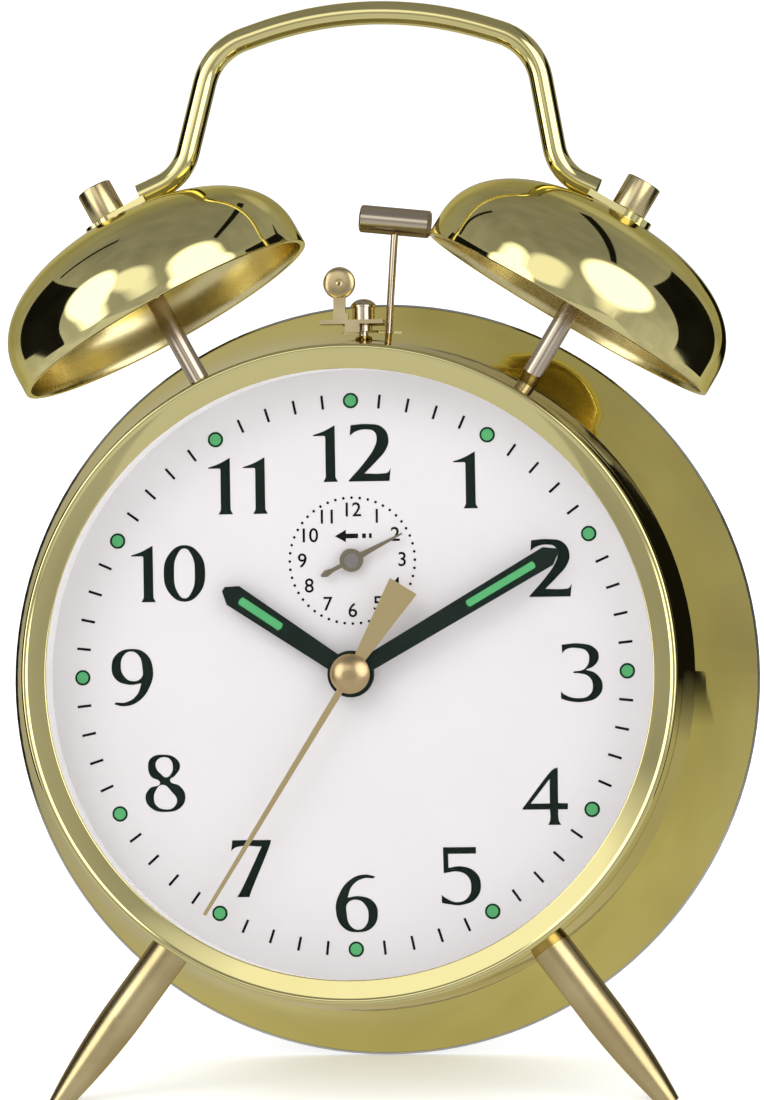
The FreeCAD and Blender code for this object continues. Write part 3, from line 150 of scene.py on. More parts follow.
# Each inlay has the radii where it starts and ends, and its half width.
HOUR_INLAY = (12.5, 19.5, 0.6)
MINUTE_INLAY = (19.9, 31.0, 0.53)
INLAY_EDGE = 0.16
INLAY_THICKNESS = 0.05
INLAY_BEVEL = 0.04
INLAY_END = 0.35
KEY_ARROW_RADIUS = 9.5
KNOB_ARROW_RADIUS = 6.3
BACK_ARROW_HALF_TURN = 50

# ---------------------------------------------------------------- camera and studio, in metres
CAMERA_PLACE = (0.0914, -0.7584, 0.1516)
CAMERA_DEGREES = (84.543, 1.533, 6.546)
CAMERA_SENSOR = 36
CAMERA_LENS = 168.26
STUDIO_CENTRE = Vector((0, 0, 0.08))
TENT_RADIUS = 3.0
FLOOR_HALF_WIDTH = 6.0
FLOOR_GLOW = 0.35
WORLD_LIGHT = 1.08


# ================================================================ materials
def new_material(name):
    """An empty node material with its shader."""
    material = bpy.data.materials.new(name)
    material.use_nodes = True
    shader = material.node_tree.nodes["Principled BSDF"]
    return material, material.node_tree, shader


def add(tree, kind, **inputs):
    """A node with some of its inputs set."""
    node = tree.nodes.new(kind)
    for key, value in inputs.items():
        node.inputs[key].default_value = value
    return node


def noise(tree, scale, detail=3.0, stretch=(1, 1, 1)):
    """Noise in the piece's own coordinates."""
    coords = tree.nodes.new("ShaderNodeTexCoord")
    mapping = tree.nodes.new("ShaderNodeMapping")
    mapping.inputs["Scale"].default_value = stretch
    texture = add(tree, "ShaderNodeTexNoise", Scale=scale, Detail=detail)
    tree.links.new(coords.outputs["Object"], mapping.inputs["Vector"])
    tree.links.new(mapping.outputs["Vector"], texture.inputs["Vector"])
    return texture


def ramp(tree, source, stops):
    """A colour ramp fed by a value."""
    node = tree.nodes.new("ShaderNodeValToRGB")
    elements = node.color_ramp.elements
    while len(elements) < len(stops):
        elements.new(0.5)
    for element, (place, colour) in zip(elements, stops):
        element.position = place
        element.color = (*colour, 1)
    tree.links.new(source, node.inputs["Fac"])
    return node


def spread_roughness(tree, shader, source, rough):
    """Roughness that runs between two values."""
    spread = tree.nodes.new("ShaderNodeMapRange")
    spread.inputs["To Min"].default_value = rough[0]
    spread.inputs["To Max"].default_value = rough[1]
    tree.links.new(source, spread.inputs["Value"])
    tree.links.new(spread.outputs["Result"], shader.inputs["Roughness"])


def bump(tree, shader, source, strength, distance):
    """Small surface relief from a value."""
    node = add(tree, "ShaderNodeBump", Strength=strength, Distance=distance)
    tree.links.new(source, node.inputs["Height"])
    tree.links.new(node.outputs["Normal"], shader.inputs["Normal"])


def metal(name, light, dark, rough, grain=900, stretch=(1, 1, 1), relief=0.02, tarnish=18):
    """Metal whose colour drifts slightly and whose roughness follows fine wiping marks."""
    material, tree, shader = new_material(name)
    shader.inputs["Metallic"].default_value = 1.0
    shader.inputs["Specular Tint"].default_value = (*light, 1)
    drift = noise(tree, tarnish, 4.0)
    colour = ramp(tree, drift.outputs["Fac"], [(0.35, dark), (0.65, light)])
    tree.links.new(colour.outputs["Color"], shader.inputs["Base Color"])
    fine = noise(tree, grain, 5.0, stretch)
    spread_roughness(tree, shader, fine.outputs["Fac"], rough)
    bump(tree, shader, fine.outputs["Fac"], relief, 0.0001)
    return material


def paint(name, light, dark, rough, grain=2500, relief=0.05, specular=0.5):
    """Painted or printed surface with a fine tooth."""
    material, tree, shader = new_material(name)
    shader.inputs["Specular IOR Level"].default_value = specular
    drift = noise(tree, 60, 3.0)
    colour = ramp(tree, drift.outputs["Fac"], [(0.3, dark), (0.7, light)])
    tree.links.new(colour.outputs["Color"], shader.inputs["Base Color"])
    fine = noise(tree, grain, 4.0)
    spread_roughness(tree, shader, fine.outputs["Fac"], rough)
    bump(tree, shader, fine.outputs["Fac"], relief, 0.00005)
    return material


def clear_glass():
    """Thin clear glass that only adds its reflections, with faint wiping marks."""
    material, tree, shader = new_material("clear_glass")
    shader.inputs["Base Color"].default_value = (0.02, 0.02, 0.02, 1)
    shader.inputs["IOR"].default_value = 1.45
    shader.inputs["Alpha"].default_value = 0.03
    marks = noise(tree, 40, 4.0, (1, 1, 6))
    spread_roughness(tree, shader, marks.outputs["Fac"], (0.01, 0.04))
    return material


POLISHED = metal("polished_brass", (0.83, 0.745, 0.36), (0.80, 0.71, 0.32), (0.035, 0.065),
                 grain=500, relief=0.004, tarnish=30)
CASE_BRASS = metal("case_brass", (0.83, 0.745, 0.37), (0.79, 0.69, 0.31), (0.03, 0.055),
                   grain=500, relief=0.004, tarnish=30)
SATIN_INSIDE = metal("satin_bell_inside", (0.84, 0.76, 0.44), (0.74, 0.62, 0.30), (0.18, 0.28),
                     tarnish=70)
SATIN = metal("satin_brass", (0.69, 0.57, 0.31), (0.56, 0.44, 0.22), (0.24, 0.34), 1600,
              relief=0.006, tarnish=90)
NUT_BRASS = metal("turned_brass", (0.71, 0.60, 0.34), (0.56, 0.44, 0.22), (0.16, 0.26), 1600,
                  relief=0.006)
LEVER_BRASS = metal("lever_brass", (0.70, 0.58, 0.34), (0.54, 0.42, 0.22), (0.18, 0.30),
                    tarnish=160)
CAP_BRASS = metal("cap_brass", (0.78, 0.61, 0.35), (0.70, 0.52, 0.28), (0.25, 0.33), 1600)
SECOND_PAINT = metal("second_hand_gold", (0.66, 0.54, 0.29), (0.60, 0.48, 0.25), (0.40, 0.50),
                     2500)
MOVEMENT = metal("movement_brass", (0.80, 0.62, 0.28), (0.72, 0.54, 0.24), (0.22, 0.34), 900)
STEEL = metal("turned_steel", (0.56, 0.53, 0.51), (0.46, 0.43, 0.41), (0.18, 0.28), 1500)
POST_STEEL = metal("post_steel", (0.68, 0.59, 0.47), (0.54, 0.45, 0.34), (0.14, 0.22), 1500,
                   relief=0.006)
SPRING = metal("blued_steel", (0.10, 0.13, 0.25), (0.06, 0.08, 0.17), (0.20, 0.30), 1500)
NICKEL = metal("nickel_plate", (0.76, 0.76, 0.74), (0.66, 0.66, 0.64), (0.14, 0.26), 1200)
PEWTER = metal("alarm_hand_metal", (0.40, 0.35, 0.26), (0.31, 0.27, 0.19), (0.32, 0.44), 2500)
DIAL_PAINT = paint("dial_paint", (0.67, 0.645, 0.655), (0.65, 0.625, 0.635), (0.50, 0.60),
                   specular=0.2)
SPACER_PAINT = paint("spacer_paint", (0.90, 0.89, 0.88), (0.86, 0.85, 0.84), (0.30, 0.40))
HAND_PAINT = paint("hand_paint", (0.006, 0.015, 0.010), (0.003, 0.009, 0.006), (0.45, 0.55),
                   specular=0.15)
PRINT_INK = paint("print_ink", (0.006, 0.014, 0.009), (0.003, 0.008, 0.005), (0.6, 0.7),
                  specular=0.08)
FINE_INK = paint("fine_ink", (0.006, 0.006, 0.007), (0.003, 0.003, 0.004), (0.6, 0.7),
                 specular=0.08)
LUME = paint("luminous_paint", (0.09, 0.40, 0.15), (0.065, 0.32, 0.115), (0.5, 0.7), 4000,
             relief=0.25, specular=0.2)
LUME_RING = paint("luminous_rim", (0.004, 0.034, 0.013), (0.002, 0.022, 0.008), (0.5, 0.6),
                  specular=0.1)
GLASS = clear_glass()

NODE_MATERIALS = {
    POLISHED: ("bezel_ring", "bell_left", "bell_right", "carry_handle"),
    CASE_BRASS: ("case_shell",),
    LEVER_BRASS: ("stop_lever",),
    NUT_BRASS: ("bell_nut_left", "bell_nut_right"),
    CAP_BRASS: ("hand_cap",),
    SATIN: ("foot_left", "foot_right", "time_key", "alarm_key", "hand_setting_knob",
            "alarm_setting_knob"),
    MOVEMENT: ("front_plate", "rear_plate", "great_wheel", "centre_wheel", "third_wheel",
               "fourth_wheel", "escape_wheel", "minute_wheel", "hour_wheel", "alarm_wheel",
               "alarm_great_wheel", "alarm_escape_wheel", "balance_wheel", "cannon_pinion",
               "dial_pillars"),
    POST_STEEL: ("bell_post_left", "bell_post_right", "hammer_head", "hammer_wire",
                 "stop_lever_rivet"),
    STEEL: ("foot_nuts", "post_nuts", "plate_pillars", "pillar_nuts", "back_standoffs",
            "back_screws", "hammer_arbor", "pallet_lever", "time_winding_arbor",
            "alarm_winding_arbor", "hand_setting_arbor", "alarm_arbor", "regulator_lever",
            "regulator_stud"),
    SPRING: ("hairspring", "time_mainspring", "alarm_mainspring"),
    NICKEL: ("back_cover",),
    DIAL_PAINT: ("dial_plate",),
    SPACER_PAINT: ("dial_ring",),
    HAND_PAINT: ("hour_hand", "minute_hand"),
    SECOND_PAINT: ("second_hand",),
    PEWTER: ("alarm_hand",),
    GLASS: ("glass_lens",),
}


def dress_nodes():
    """Gives every CAD node its material."""
    for material, names in NODE_MATERIALS.items():
        for name in names:
            mesh = NODES[name].data
            mesh.materials.clear()
            mesh.materials.append(material)


# ================================================================ mesh pieces
def place_mesh(name, mesh, body):
    """A mesh already in scene metres becomes a piece that rides on a body."""
    piece = bpy.data.objects.new(name, mesh)
    bpy.context.scene.collection.objects.link(piece)
    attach(piece, body)
    return piece


def softened(profile, radius, steps=4):
    """Rounds the corners of a closed profile."""
    result = []
    count = len(profile)
    for index, corner in enumerate(profile):
        corner = Vector(corner)
        before = Vector(profile[index - 1]) - corner
        after = Vector(profile[(index + 1) % count]) - corner
        reach = min(radius, before.length * CORNER_SHARE, after.length * CORNER_SHARE)
        if before.angle(after) > math.radians(STRAIGHT_DEGREES):
            result.append(tuple(corner))
            continue
        start = corner + before.normalized() * reach
        end = corner + after.normalized() * reach
        for step in range(steps + 1):
            share = step / steps
            point = start.lerp(corner, share).lerp(corner.lerp(end, share), share)
            result.append(tuple(point))
    return result


def lathe(name, profile, base, axis, materials, second=(), segments=LATHE_SEGMENTS,
          body=ROOT):
    """A closed (height, radius) profile turned about an axis through a base point.

    base and axis are in the clock's frame; the profile's edges that start at a corner in second
    take the second material.
    """
    axis = Vector(axis).normalized()
    side = axis.orthogonal().normalized()
    across = axis.cross(side)
    points, faces = [], []
    count = len(profile)
    for segment in range(segments):
        turn = 2 * math.pi * segment / segments
        outward = side * math.cos(turn) + across * math.sin(turn)
        for height, radius in profile:
            points.append(clock(*(Vector(base) + axis * height + outward * radius)))
    for segment in range(segments):
        here = segment * count
        there = (segment + 1) % segments * count
        for index in range(count):
            following = (index + 1) % count
            faces.append((here + index, here + following, there + following, there + index))
    mesh = bpy.data.meshes.new(name)
    mesh.from_pydata(points, [], faces)
    for material in materials:
        mesh.materials.append(material)
    for index, polygon in enumerate(mesh.polygons):
        polygon.use_smooth = True
        if profile[index % count] in second:
            polygon.material_index = 1
    return place_mesh(name, mesh, body)


def curve_outline(curve, outline, offset=(0, 0), scale=1.0):
    """Adds a closed outline to a flat curve; a third value in a point marks a sharp corner."""
    spline = curve.splines.new("BEZIER")
    spline.bezier_points.add(len(outline) - 1)
    spline.use_cyclic_u = True
    for knot, point in zip(spline.bezier_points, outline):
        knot.co = (offset[0] + point[0] * scale, offset[1] + point[1] * scale, 0)
        kind = "VECTOR" if len(point) > 2 else "AUTO"
        knot.handle_left_type = kind
        knot.handle_right_type = kind


def flat_curve(thickness, bevel=0.0):
    """An empty flat curve whose closed outlines are filled."""
    curve = bpy.data.curves.new("drawing", "CURVE")
    curve.dimensions = "2D"
    curve.fill_mode = "BOTH"
    curve.resolution_u = 8
    curve.extrude = thickness / 2
    curve.bevel_depth = bevel
    curve.offset = -bevel
    return curve


def drawn_mesh(curve, matrix, material):
    """The mesh of a filled curve or text, laid on the clock."""
    holder = bpy.data.objects.new("drawing", curve)
    bpy.context.scene.collection.objects.link(holder)
    bpy.context.view_layer.update()
    evaluated = holder.evaluated_get(bpy.context.evaluated_depsgraph_get())
    mesh = bpy.data.meshes.new_from_object(evaluated)
    bpy.data.objects.remove(holder)
    mesh.transform(matrix)
    mesh.materials.clear()
    mesh.materials.append(material)
    return mesh


def drawn_piece(name, curve, depth, body, material, behind=False):
    """A drawing that stands out from the surface at a depth."""
    rise = curve.extrude + curve.bevel_depth
    matrix = facing_back(depth + rise) if behind else facing_front(depth - rise)
    return place_mesh(name, drawn_mesh(curve, matrix, material), body)


def circle_outline(centre, radius, points=8):
    """Knots round a circle."""
    turns = [2 * math.pi * step / points for step in range(points)]
    return [(centre[0] + radius * math.cos(turn), centre[1] + radius * math.sin(turn))
            for turn in turns]


def clock_polar(centre, radius, degrees):
    """A place on the dial at a clockwise angle from twelve."""
    turn = math.radians(degrees)
    return (centre[0] + radius * math.sin(turn), centre[1] + radius * math.cos(turn))


def bar_outline(start, end, half_width, degrees, rounded=False):
    """A straight bar along a clockwise angle from twelve, between two radii."""
    turn = math.radians(degrees)
    along = Vector((math.sin(turn), math.cos(turn)))
    side = Vector((math.cos(turn), -math.sin(turn))) * half_width
    corners = [along * start - side, along * end - side, along * end + side, along * start + side]
    sharp = [(*corner, 0) for corner in corners]
    if not rounded:
        return sharp
    inner = tuple(along * (start - half_width * INLAY_END))
    outer = tuple(along * (end + half_width * INLAY_END))
    return [*sharp[:2], outer, *sharp[2:], inner]


# ================================================================ bells, bezel and nuts
def bell_outline(radius, height, steps=40):
    """The dome's curve from the top of the skirt to the hole for the post's thread."""
    points = []
    for step in range(steps + 1):
        turn = math.pi / 2 * step / steps
        across = radius * abs(math.cos(turn)) ** (2 / BELL_FULLNESS)
        up = height * math.sin(turn) ** (2 / BELL_FULLNESS)
        points.append((BELL_SKIRT + up, max(across, THREAD_HOLE)))
        if across <= THREAD_HOLE:
            break
    return points


def bell_axis(side):
    """Mouth centre and axis of a bell."""
    x, z, lean, back = BELLS[side]
    turn, tip = math.radians(lean), math.radians(back)
    axis = (math.sin(turn) * math.cos(tip), math.sin(tip), math.cos(turn) * math.cos(tip))
    return Vector((x, BELL_PLANE, z)), Vector(axis)


def bell_shell(side):
    """Domed bell, polished outside and satin inside."""
    lip = BELL_LIP
    inner_radius = BELL_RADIUS - BELL_WALL
    outside = bell_outline(BELL_RADIUS, BELL_HEIGHT - BELL_SKIRT)
    inside = bell_outline(inner_radius, BELL_HEIGHT - BELL_SKIRT - BELL_WALL)
    profile = [(lip, BELL_RADIUS), (BELL_SKIRT / 2, BELL_RADIUS)] + outside
    profile += inside[::-1] + [(BELL_SKIRT / 2, inner_radius), (lip, inner_radius),
                               (lip * 0.3, inner_radius + lip * 0.3), (0, inner_radius + lip),
                               (0, BELL_RADIUS - lip), (lip * 0.3, BELL_RADIUS - lip * 0.3)]
    inner_corners = set(inside + [(BELL_SKIRT / 2, inner_radius)])
    mouth, axis = bell_axis(side)
    bell = lathe(f"bell_skin_{side}", profile, mouth, axis,
                 [POLISHED, SATIN_INSIDE], inner_corners)
    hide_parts(f"bell_{side}")


def cap_nut(side):
    """Round cap nut with eased edges and a shallow turned groove on top."""
    radius, height = NUT_RADIUS, NUT_HEIGHT
    profile = softened([
        (0, NEAR_AXIS), (0, radius), (height, radius), (height + NUT_GROOVE_DEPTH, radius * 0.62),
        (height - NUT_GROOVE_DEPTH, radius * 0.5), (height + NUT_CROWN, radius * 0.38),
        (height + NUT_CROWN, NEAR_AXIS),
    ], NUT_EDGE)
    mouth, axis = bell_axis(side)
    base = mouth + axis * (BELL_HEIGHT + TAB_THICKNESS)
    nut = lathe(f"cap_nut_{side}", profile, base, axis, [NUT_BRASS],
                segments=NUT_SEGMENTS)
    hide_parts(f"bell_nut_{side}")


def lever_paddle():
    """Rounded faces and edge of the stop lever's paddle."""
    steps, last_angle = 9, 86
    profile = [(-PADDLE_HALF_THICKNESS, NEAR_AXIS)]
    for step in range(-steps, steps + 1):
        angle = math.radians(last_angle * step / steps)
        profile.append((PADDLE_HALF_THICKNESS * math.sin(angle),
                        PADDLE_RADIUS * math.cos(angle) ** 0.5))
    profile.append((PADDLE_HALF_THICKNESS, NEAR_AXIS))
    lathe("lever_paddle", profile, PADDLE_CENTRE, (0, 1, 0), [LEVER_BRASS],
          segments=PADDLE_SEGMENTS, body="stop_lever")


def bezel():
    """Pressed bezel with rolled edges that catch the light."""
    profile = [
        (-6.8, 44.2), (-7.4, 44.2), (-7.85, 46.8), (-8.0, 47.1), (-8.0, 47.45), (-7.7, 47.75),
        (-3.0, 48.3), (-3.0, 47.6), (-6.8, 47.3),
    ]
    ring = lathe("bezel_skin", softened(profile, BEZEL_EDGE, 5), (0, 0, 0), (0, 1, 0),
                 [POLISHED], segments=BEZEL_SEGMENTS)
    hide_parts("bezel_ring")


# ================================================================ dial printing
# Each numeral has its width and its closed outlines, both in shares of the numeral's height.
NUMERALS = {
    "0": (0.74, [
        [(0.37, 1), (0.63, 0.86), (0.74, 0.5), (0.63, 0.14), (0.37, 0), (0.11, 0.14), (0, 0.5),
         (0.11, 0.86)],
        [(0.37, 0.94), (0.50, 0.82), (0.555, 0.5), (0.50, 0.18), (0.37, 0.06), (0.24, 0.18),
         (0.185, 0.5), (0.24, 0.82)]]),
    "1": (0.45, [
        [(0, 0.812, 0), (0.205, 0.812, 0), (0.22, 0.79, 0), (0.222, 0.08, 0), (0.18, 0, 0),
         (0.44, 0, 0), (0.395, 0.08, 0), (0.388, 1, 0), (0.19, 0.895), (0, 0.83, 0)]]),
    "2": (0.745, [
        [(0.04, 0.995, 0), (0.34, 1.01), (0.60, 0.95), (0.71, 0.74), (0.66, 0.55), (0.50, 0.36),
         (0.28, 0.14, 0), (0.62, 0.135), (0.69, 0.15), (0.745, 0.23, 0), (0.72, 0, 0), (0, 0, 0),
         (0, 0.02, 0), (0.30, 0.36), (0.46, 0.60), (0.50, 0.74), (0.46, 0.87), (0.32, 0.915),
         (0.13, 0.88), (0.025, 0.81, 0)]]),
    "3": (0.73, [
        [(0.02, 0.985, 0), (0.35, 1), (0.60, 0.92), (0.67, 0.77), (0.60, 0.62), (0.44, 0.54, 0),
         (0.62, 0.47), (0.73, 0.28), (0.66, 0.08), (0.40, -0.02), (0.12, 0), (0, 0.04, 0),
         (0, 0.17, 0), (0.05, 0.12), (0.30, 0.045), (0.50, 0.10), (0.56, 0.26), (0.49, 0.42),
         (0.30, 0.48), (0.22, 0.485, 0), (0.22, 0.51, 0), (0.42, 0.56), (0.50, 0.72),
         (0.46, 0.86), (0.30, 0.92), (0.10, 0.90), (0.03, 0.83, 0)]]),
    "4": (0.80, [
        [(0.63, 1, 0), (0.63, 0.38, 0), (0.80, 0.375, 0), (0.80, 0.27, 0), (0.63, 0.27, 0),
         (0.64, 0.08), (0.68, 0, 0), (0.45, 0, 0), (0.485, 0.08), (0.485, 0.27, 0), (0, 0.27, 0),
         (0.01, 0.30, 0), (0.52, 0.95), (0.57, 0.985, 0)],
        [(0.485, 0.375, 0), (0.485, 0.80, 0), (0.15, 0.375, 0)]]),
    "5": (0.69, [
        [(0.03, 1, 0), (0.61, 1, 0), (0.61, 0.885, 0), (0.12, 0.885, 0), (0.125, 0.64, 0),
         (0.35, 0.665), (0.60, 0.56), (0.69, 0.36), (0.62, 0.12), (0.38, -0.005), (0.12, 0.005),
         (0, 0.03, 0), (0, 0.17, 0), (0.06, 0.12), (0.28, 0.04), (0.46, 0.12), (0.52, 0.32),
         (0.45, 0.50), (0.28, 0.575), (0.12, 0.56), (0.04, 0.545, 0)]]),
    "6": (0.75, [
        [(0.71, 0.965, 0), (0.68, 0.93, 0), (0.50, 0.93), (0.30, 0.80), (0.22, 0.60, 0),
         (0.45, 0.62), (0.68, 0.52), (0.75, 0.31), (0.66, 0.08), (0.40, -0.01), (0.14, 0.07),
         (0.01, 0.36), (0.07, 0.66), (0.28, 0.92), (0.52, 1.0)],
        [(0.22, 0.50), (0.40, 0.555), (0.54, 0.45), (0.585, 0.28), (0.53, 0.10), (0.41, 0.035),
         (0.27, 0.10), (0.20, 0.32)]]),
    "7": (0.71, [
        [(0.02, 1, 0), (0.71, 1, 0), (0.69, 0.92), (0.33, 0.05), (0.32, 0, 0), (0.10, 0, 0),
         (0.16, 0.10), (0.54, 0.885, 0), (0.12, 0.885), (0.04, 0.85), (0, 0.81, 0)]]),
    "8": (0.71, [
        [(0.33, 1), (0.55, 0.93), (0.62, 0.79), (0.52, 0.62), (0.44, 0.55), (0.62, 0.44),
         (0.71, 0.27), (0.63, 0.07), (0.36, -0.01), (0.10, 0.06), (0, 0.24), (0.08, 0.41),
         (0.26, 0.50), (0.10, 0.62), (0.05, 0.80), (0.10, 0.94)],
        [(0.35, 0.955), (0.21, 0.90), (0.19, 0.78), (0.28, 0.66), (0.37, 0.60), (0.47, 0.68),
         (0.49, 0.80), (0.45, 0.91)],
        [(0.30, 0.47), (0.18, 0.36), (0.15, 0.23), (0.20, 0.10), (0.36, 0.035), (0.51, 0.08),
         (0.56, 0.21), (0.48, 0.33)]]),
}
SIX_WIDTH, SIX_OUTLINES = NUMERALS["6"]
NUMERALS["9"] = (SIX_WIDTH, [[(SIX_WIDTH - knot[0], 1 - knot[1], *knot[2:]) for knot in outline]
                             for outline in SIX_OUTLINES])


def hour_numerals():
    """The twelve large numerals."""
    curve = flat_curve(INK_THICKNESS)
    for hour, centre in enumerate(NUMERAL_CENTRES):
        label = str(hour or 12)
        widths = [NUMERALS[digit][0] * NUMERAL_HEIGHT for digit in label]
        gap = DIGIT_GAPS.get(label, 0)
        left = centre[0] - (sum(widths) + gap) / 2
        for digit, width in zip(label, widths):
            for outline in NUMERALS[digit][1]:
                offset = (left, centre[1] - NUMERAL_HEIGHT / 2)
                curve_outline(curve, outline, offset, NUMERAL_HEIGHT)
            left += width + gap
    drawn_piece("hour_numerals", curve, 0, ROOT, PRINT_INK)


def minute_track():
    """A tick at every minute that has no luminous dot."""
    curve = flat_curve(INK_THICKNESS)
    for minute in range(60):
        if minute % 5:
            start = TRACK_RADIUS - TICK_LENGTH / 2
            outline = bar_outline(start, start + TICK_LENGTH, TICK_WIDTH / 2, minute * 6)
            curve_outline(curve, outline)
    drawn_piece("minute_track", curve, 0, ROOT, FINE_INK)


def hour_dots():
    """Luminous dots, each a raised drop of paint inside a dark printed ring."""
    rims, drops = flat_curve(INK_THICKNESS), flat_curve(DOT_RISE / 2, DOT_RISE / 2)
    for hour in range(12):
        centre = clock_polar((0, 0), TRACK_RADIUS, hour * 30)
        curve_outline(rims, circle_outline(centre, DOT_RADIUS))
        curve_outline(drops, circle_outline(centre, DOT_FILL_RADIUS))
    drawn_piece("dot_rims", rims, 0, ROOT, LUME_RING)
    drawn_piece("dot_drops", drops, 0, ROOT, LUME)


def hand_inlay(name, inlay, angle, depth, body):
    """Luminous paint that fills the slot of a hand, with its darker edge."""
    start, end, half_width = inlay
    rim = flat_curve(INK_THICKNESS)
    curve_outline(rim, bar_outline(start - INLAY_EDGE, end + INLAY_EDGE, half_width + INLAY_EDGE,
                                   angle, True))
    drawn_piece(f"{name}_rim", rim, depth, body, LUME_RING)
    fill = flat_curve(INLAY_THICKNESS, INLAY_BEVEL)
    curve_outline(fill, bar_outline(start, end, half_width, angle, True))
    drawn_piece(f"{name}_fill", fill, depth, body, LUME)


def text_mesh(text, size, centre, matrix, material):
    """A number in a plain sans letter, centred on a place."""
    curve = bpy.data.curves.new("number", "FONT")
    curve.body = text
    curve.size = size
    curve.offset = SUB_DIGIT_BOLDNESS
    curve.align_x = "CENTER"
    curve.align_y = "CENTER"
    curve.extrude = INK_THICKNESS / 2
    return drawn_mesh(curve, matrix @ Matrix.Translation((*centre, 0)), material)


def alarm_numerals():
    """The small numbers of the alarm's sub-dial."""
    matrix = facing_front(-INK_THICKNESS / 2)
    for hour in range(1, 13):
        centre = clock_polar((0, ALARM_HEIGHT), SUB_DIGIT_CIRCLE, hour * 30)
        mesh = text_mesh(str(hour), SUB_DIGIT_SIZE, centre, matrix, FINE_INK)
        place_mesh(f"alarm_number_{hour}", mesh, ROOT)


def alarm_track():
    """Quarter-hour dots round the sub-dial, and the arrow that shows which way to set it."""
    curve = flat_curve(INK_THICKNESS)
    for dot in range(SUB_DOTS):
        centre = clock_polar((0, ALARM_HEIGHT), SUB_DOT_CIRCLE, 360 * dot / SUB_DOTS)
        curve_outline(curve, circle_outline(centre, SUB_DOT_RADIUS, 6))
    tip, neck, tail, head = -2.5, -0.9, 0.9, 0.9
    top, low = ARROW_HEIGHT + ARROW_LINE, ARROW_HEIGHT - ARROW_LINE
    curve_outline(curve, [(tip, ARROW_HEIGHT, 0), (neck, ARROW_HEIGHT + head, 0), (neck, top, 0),
                          (tail, top, 0), (tail, low, 0), (neck, low, 0),
                          (neck, ARROW_HEIGHT - head, 0)])
    for start, end in ((1.5, 2.05), (2.5, 2.9)):
        curve_outline(curve, [(start, top, 0), (end, top, 0), (end, low, 0), (start, low, 0)])
    drawn_piece("alarm_track", curve, 0, ROOT, FINE_INK)


def on_back(joint):
    """Where a joint's axis meets the back cover, in millimetres seen from behind."""
    offset = Vector(JOINTS[joint]["pos_m"]) - DIAL
    return (-offset.dot(RIGHT) / MM, offset.dot(UP) / MM)


def turning_arrow(curve, centre, radius, start, end):
    """A curved arrow from one clockwise angle to another."""
    half_width, head, head_length, steps = 0.3, 1.0, 2.4, 14
    angles = [start + (end - start) * step / steps for step in range(steps + 1)]
    tip = end + math.copysign(math.degrees(head_length / radius), end - start)
    outline = [clock_polar(centre, radius + half_width, angle) for angle in angles]
    outline += [clock_polar(centre, radius + head, end), clock_polar(centre, radius, tip),
                clock_polar(centre, radius - head, end)]
    outline += [clock_polar(centre, radius - half_width, angle) for angle in reversed(angles)]
    curve_outline(curve, [(x, z, 0) for x, z in outline])


def back_arrows():
    """Arrows on the back cover that show which way the keys and knobs turn."""
    curve = flat_curve(INK_THICKNESS)
    reach = BACK_ARROW_HALF_TURN
    for joint in ("time_winding_turn", "alarm_winding_turn"):
        turning_arrow(curve, on_back(joint), KEY_ARROW_RADIUS, reach, -reach)
    for joint in ("hand_setting_turn", "alarm_setting_turn"):
        turning_arrow(curve, on_back(joint), KNOB_ARROW_RADIUS, -reach, reach)
    drawn_piece("back_arrows", curve, COVER_BACK, ROOT, FINE_INK, behind=True)


# ================================================================ camera, lights and floor
def make_camera():
    """The camera, a little to the clock's right and above its middle."""
    camera = bpy.data.objects.new("camera", bpy.data.cameras.new("camera"))
    bpy.context.scene.collection.objects.link(camera)
    camera.location = CAMERA_PLACE
    camera.rotation_euler = [math.radians(angle) for angle in CAMERA_DEGREES]
    camera.data.sensor_width = CAMERA_SENSOR
    camera.data.lens = CAMERA_LENS
    bpy.context.scene.camera = camera
    bpy.context.scene.view_settings.view_transform = "Standard"


def studio_place(azimuth, elevation, distance):
    """A place in the studio; azimuth 0 is in front of the clock and positive is to its right."""
    turn, rise = math.radians(azimuth), math.radians(elevation)
    direction = Vector((math.sin(turn) * math.cos(rise), -math.cos(turn) * math.cos(rise),
                        math.sin(rise)))
    return STUDIO_CENTRE + direction * distance


def softbox(name, azimuth, elevation, distance, size, power):
    """A soft rectangular studio light aimed at the clock."""
    light = bpy.data.lights.new(name, "AREA")
    light.shape = "RECTANGLE"
    light.size, light.size_y = size
    light.energy = power
    lamp = bpy.data.objects.new(name, light)
    bpy.context.scene.collection.objects.link(lamp)
    lamp.location = studio_place(azimuth, elevation, distance)
    lamp.rotation_euler = (STUDIO_CENTRE - lamp.location).to_track_quat("-Z", "Y").to_euler()
    lamp.visible_glossy = False


def lit_material(name, strength):
    """A node material that has a light in place of the usual shader."""
    material, tree, shader = new_material(name)
    tree.nodes.remove(shader)
    return material, tree, add(tree, "ShaderNodeEmission", Strength=strength)


def show(tree, shader_output):
    """Makes a shader the one that the material shows."""
    tree.links.new(shader_output, tree.nodes["Material Output"].inputs["Surface"])


def glow(name, low, high):
    """An evenly lit studio surface with a faint cloudiness."""
    material, tree, light = lit_material(name, 1.0)
    cloud = noise(tree, 1.3, 2.0)
    colour = ramp(tree, cloud.outputs["Fac"], [(0.3, low), (0.7, high)])
    tree.links.new(colour.outputs["Color"], light.inputs["Color"])
    show(tree, light.outputs["Emission"])
    return material


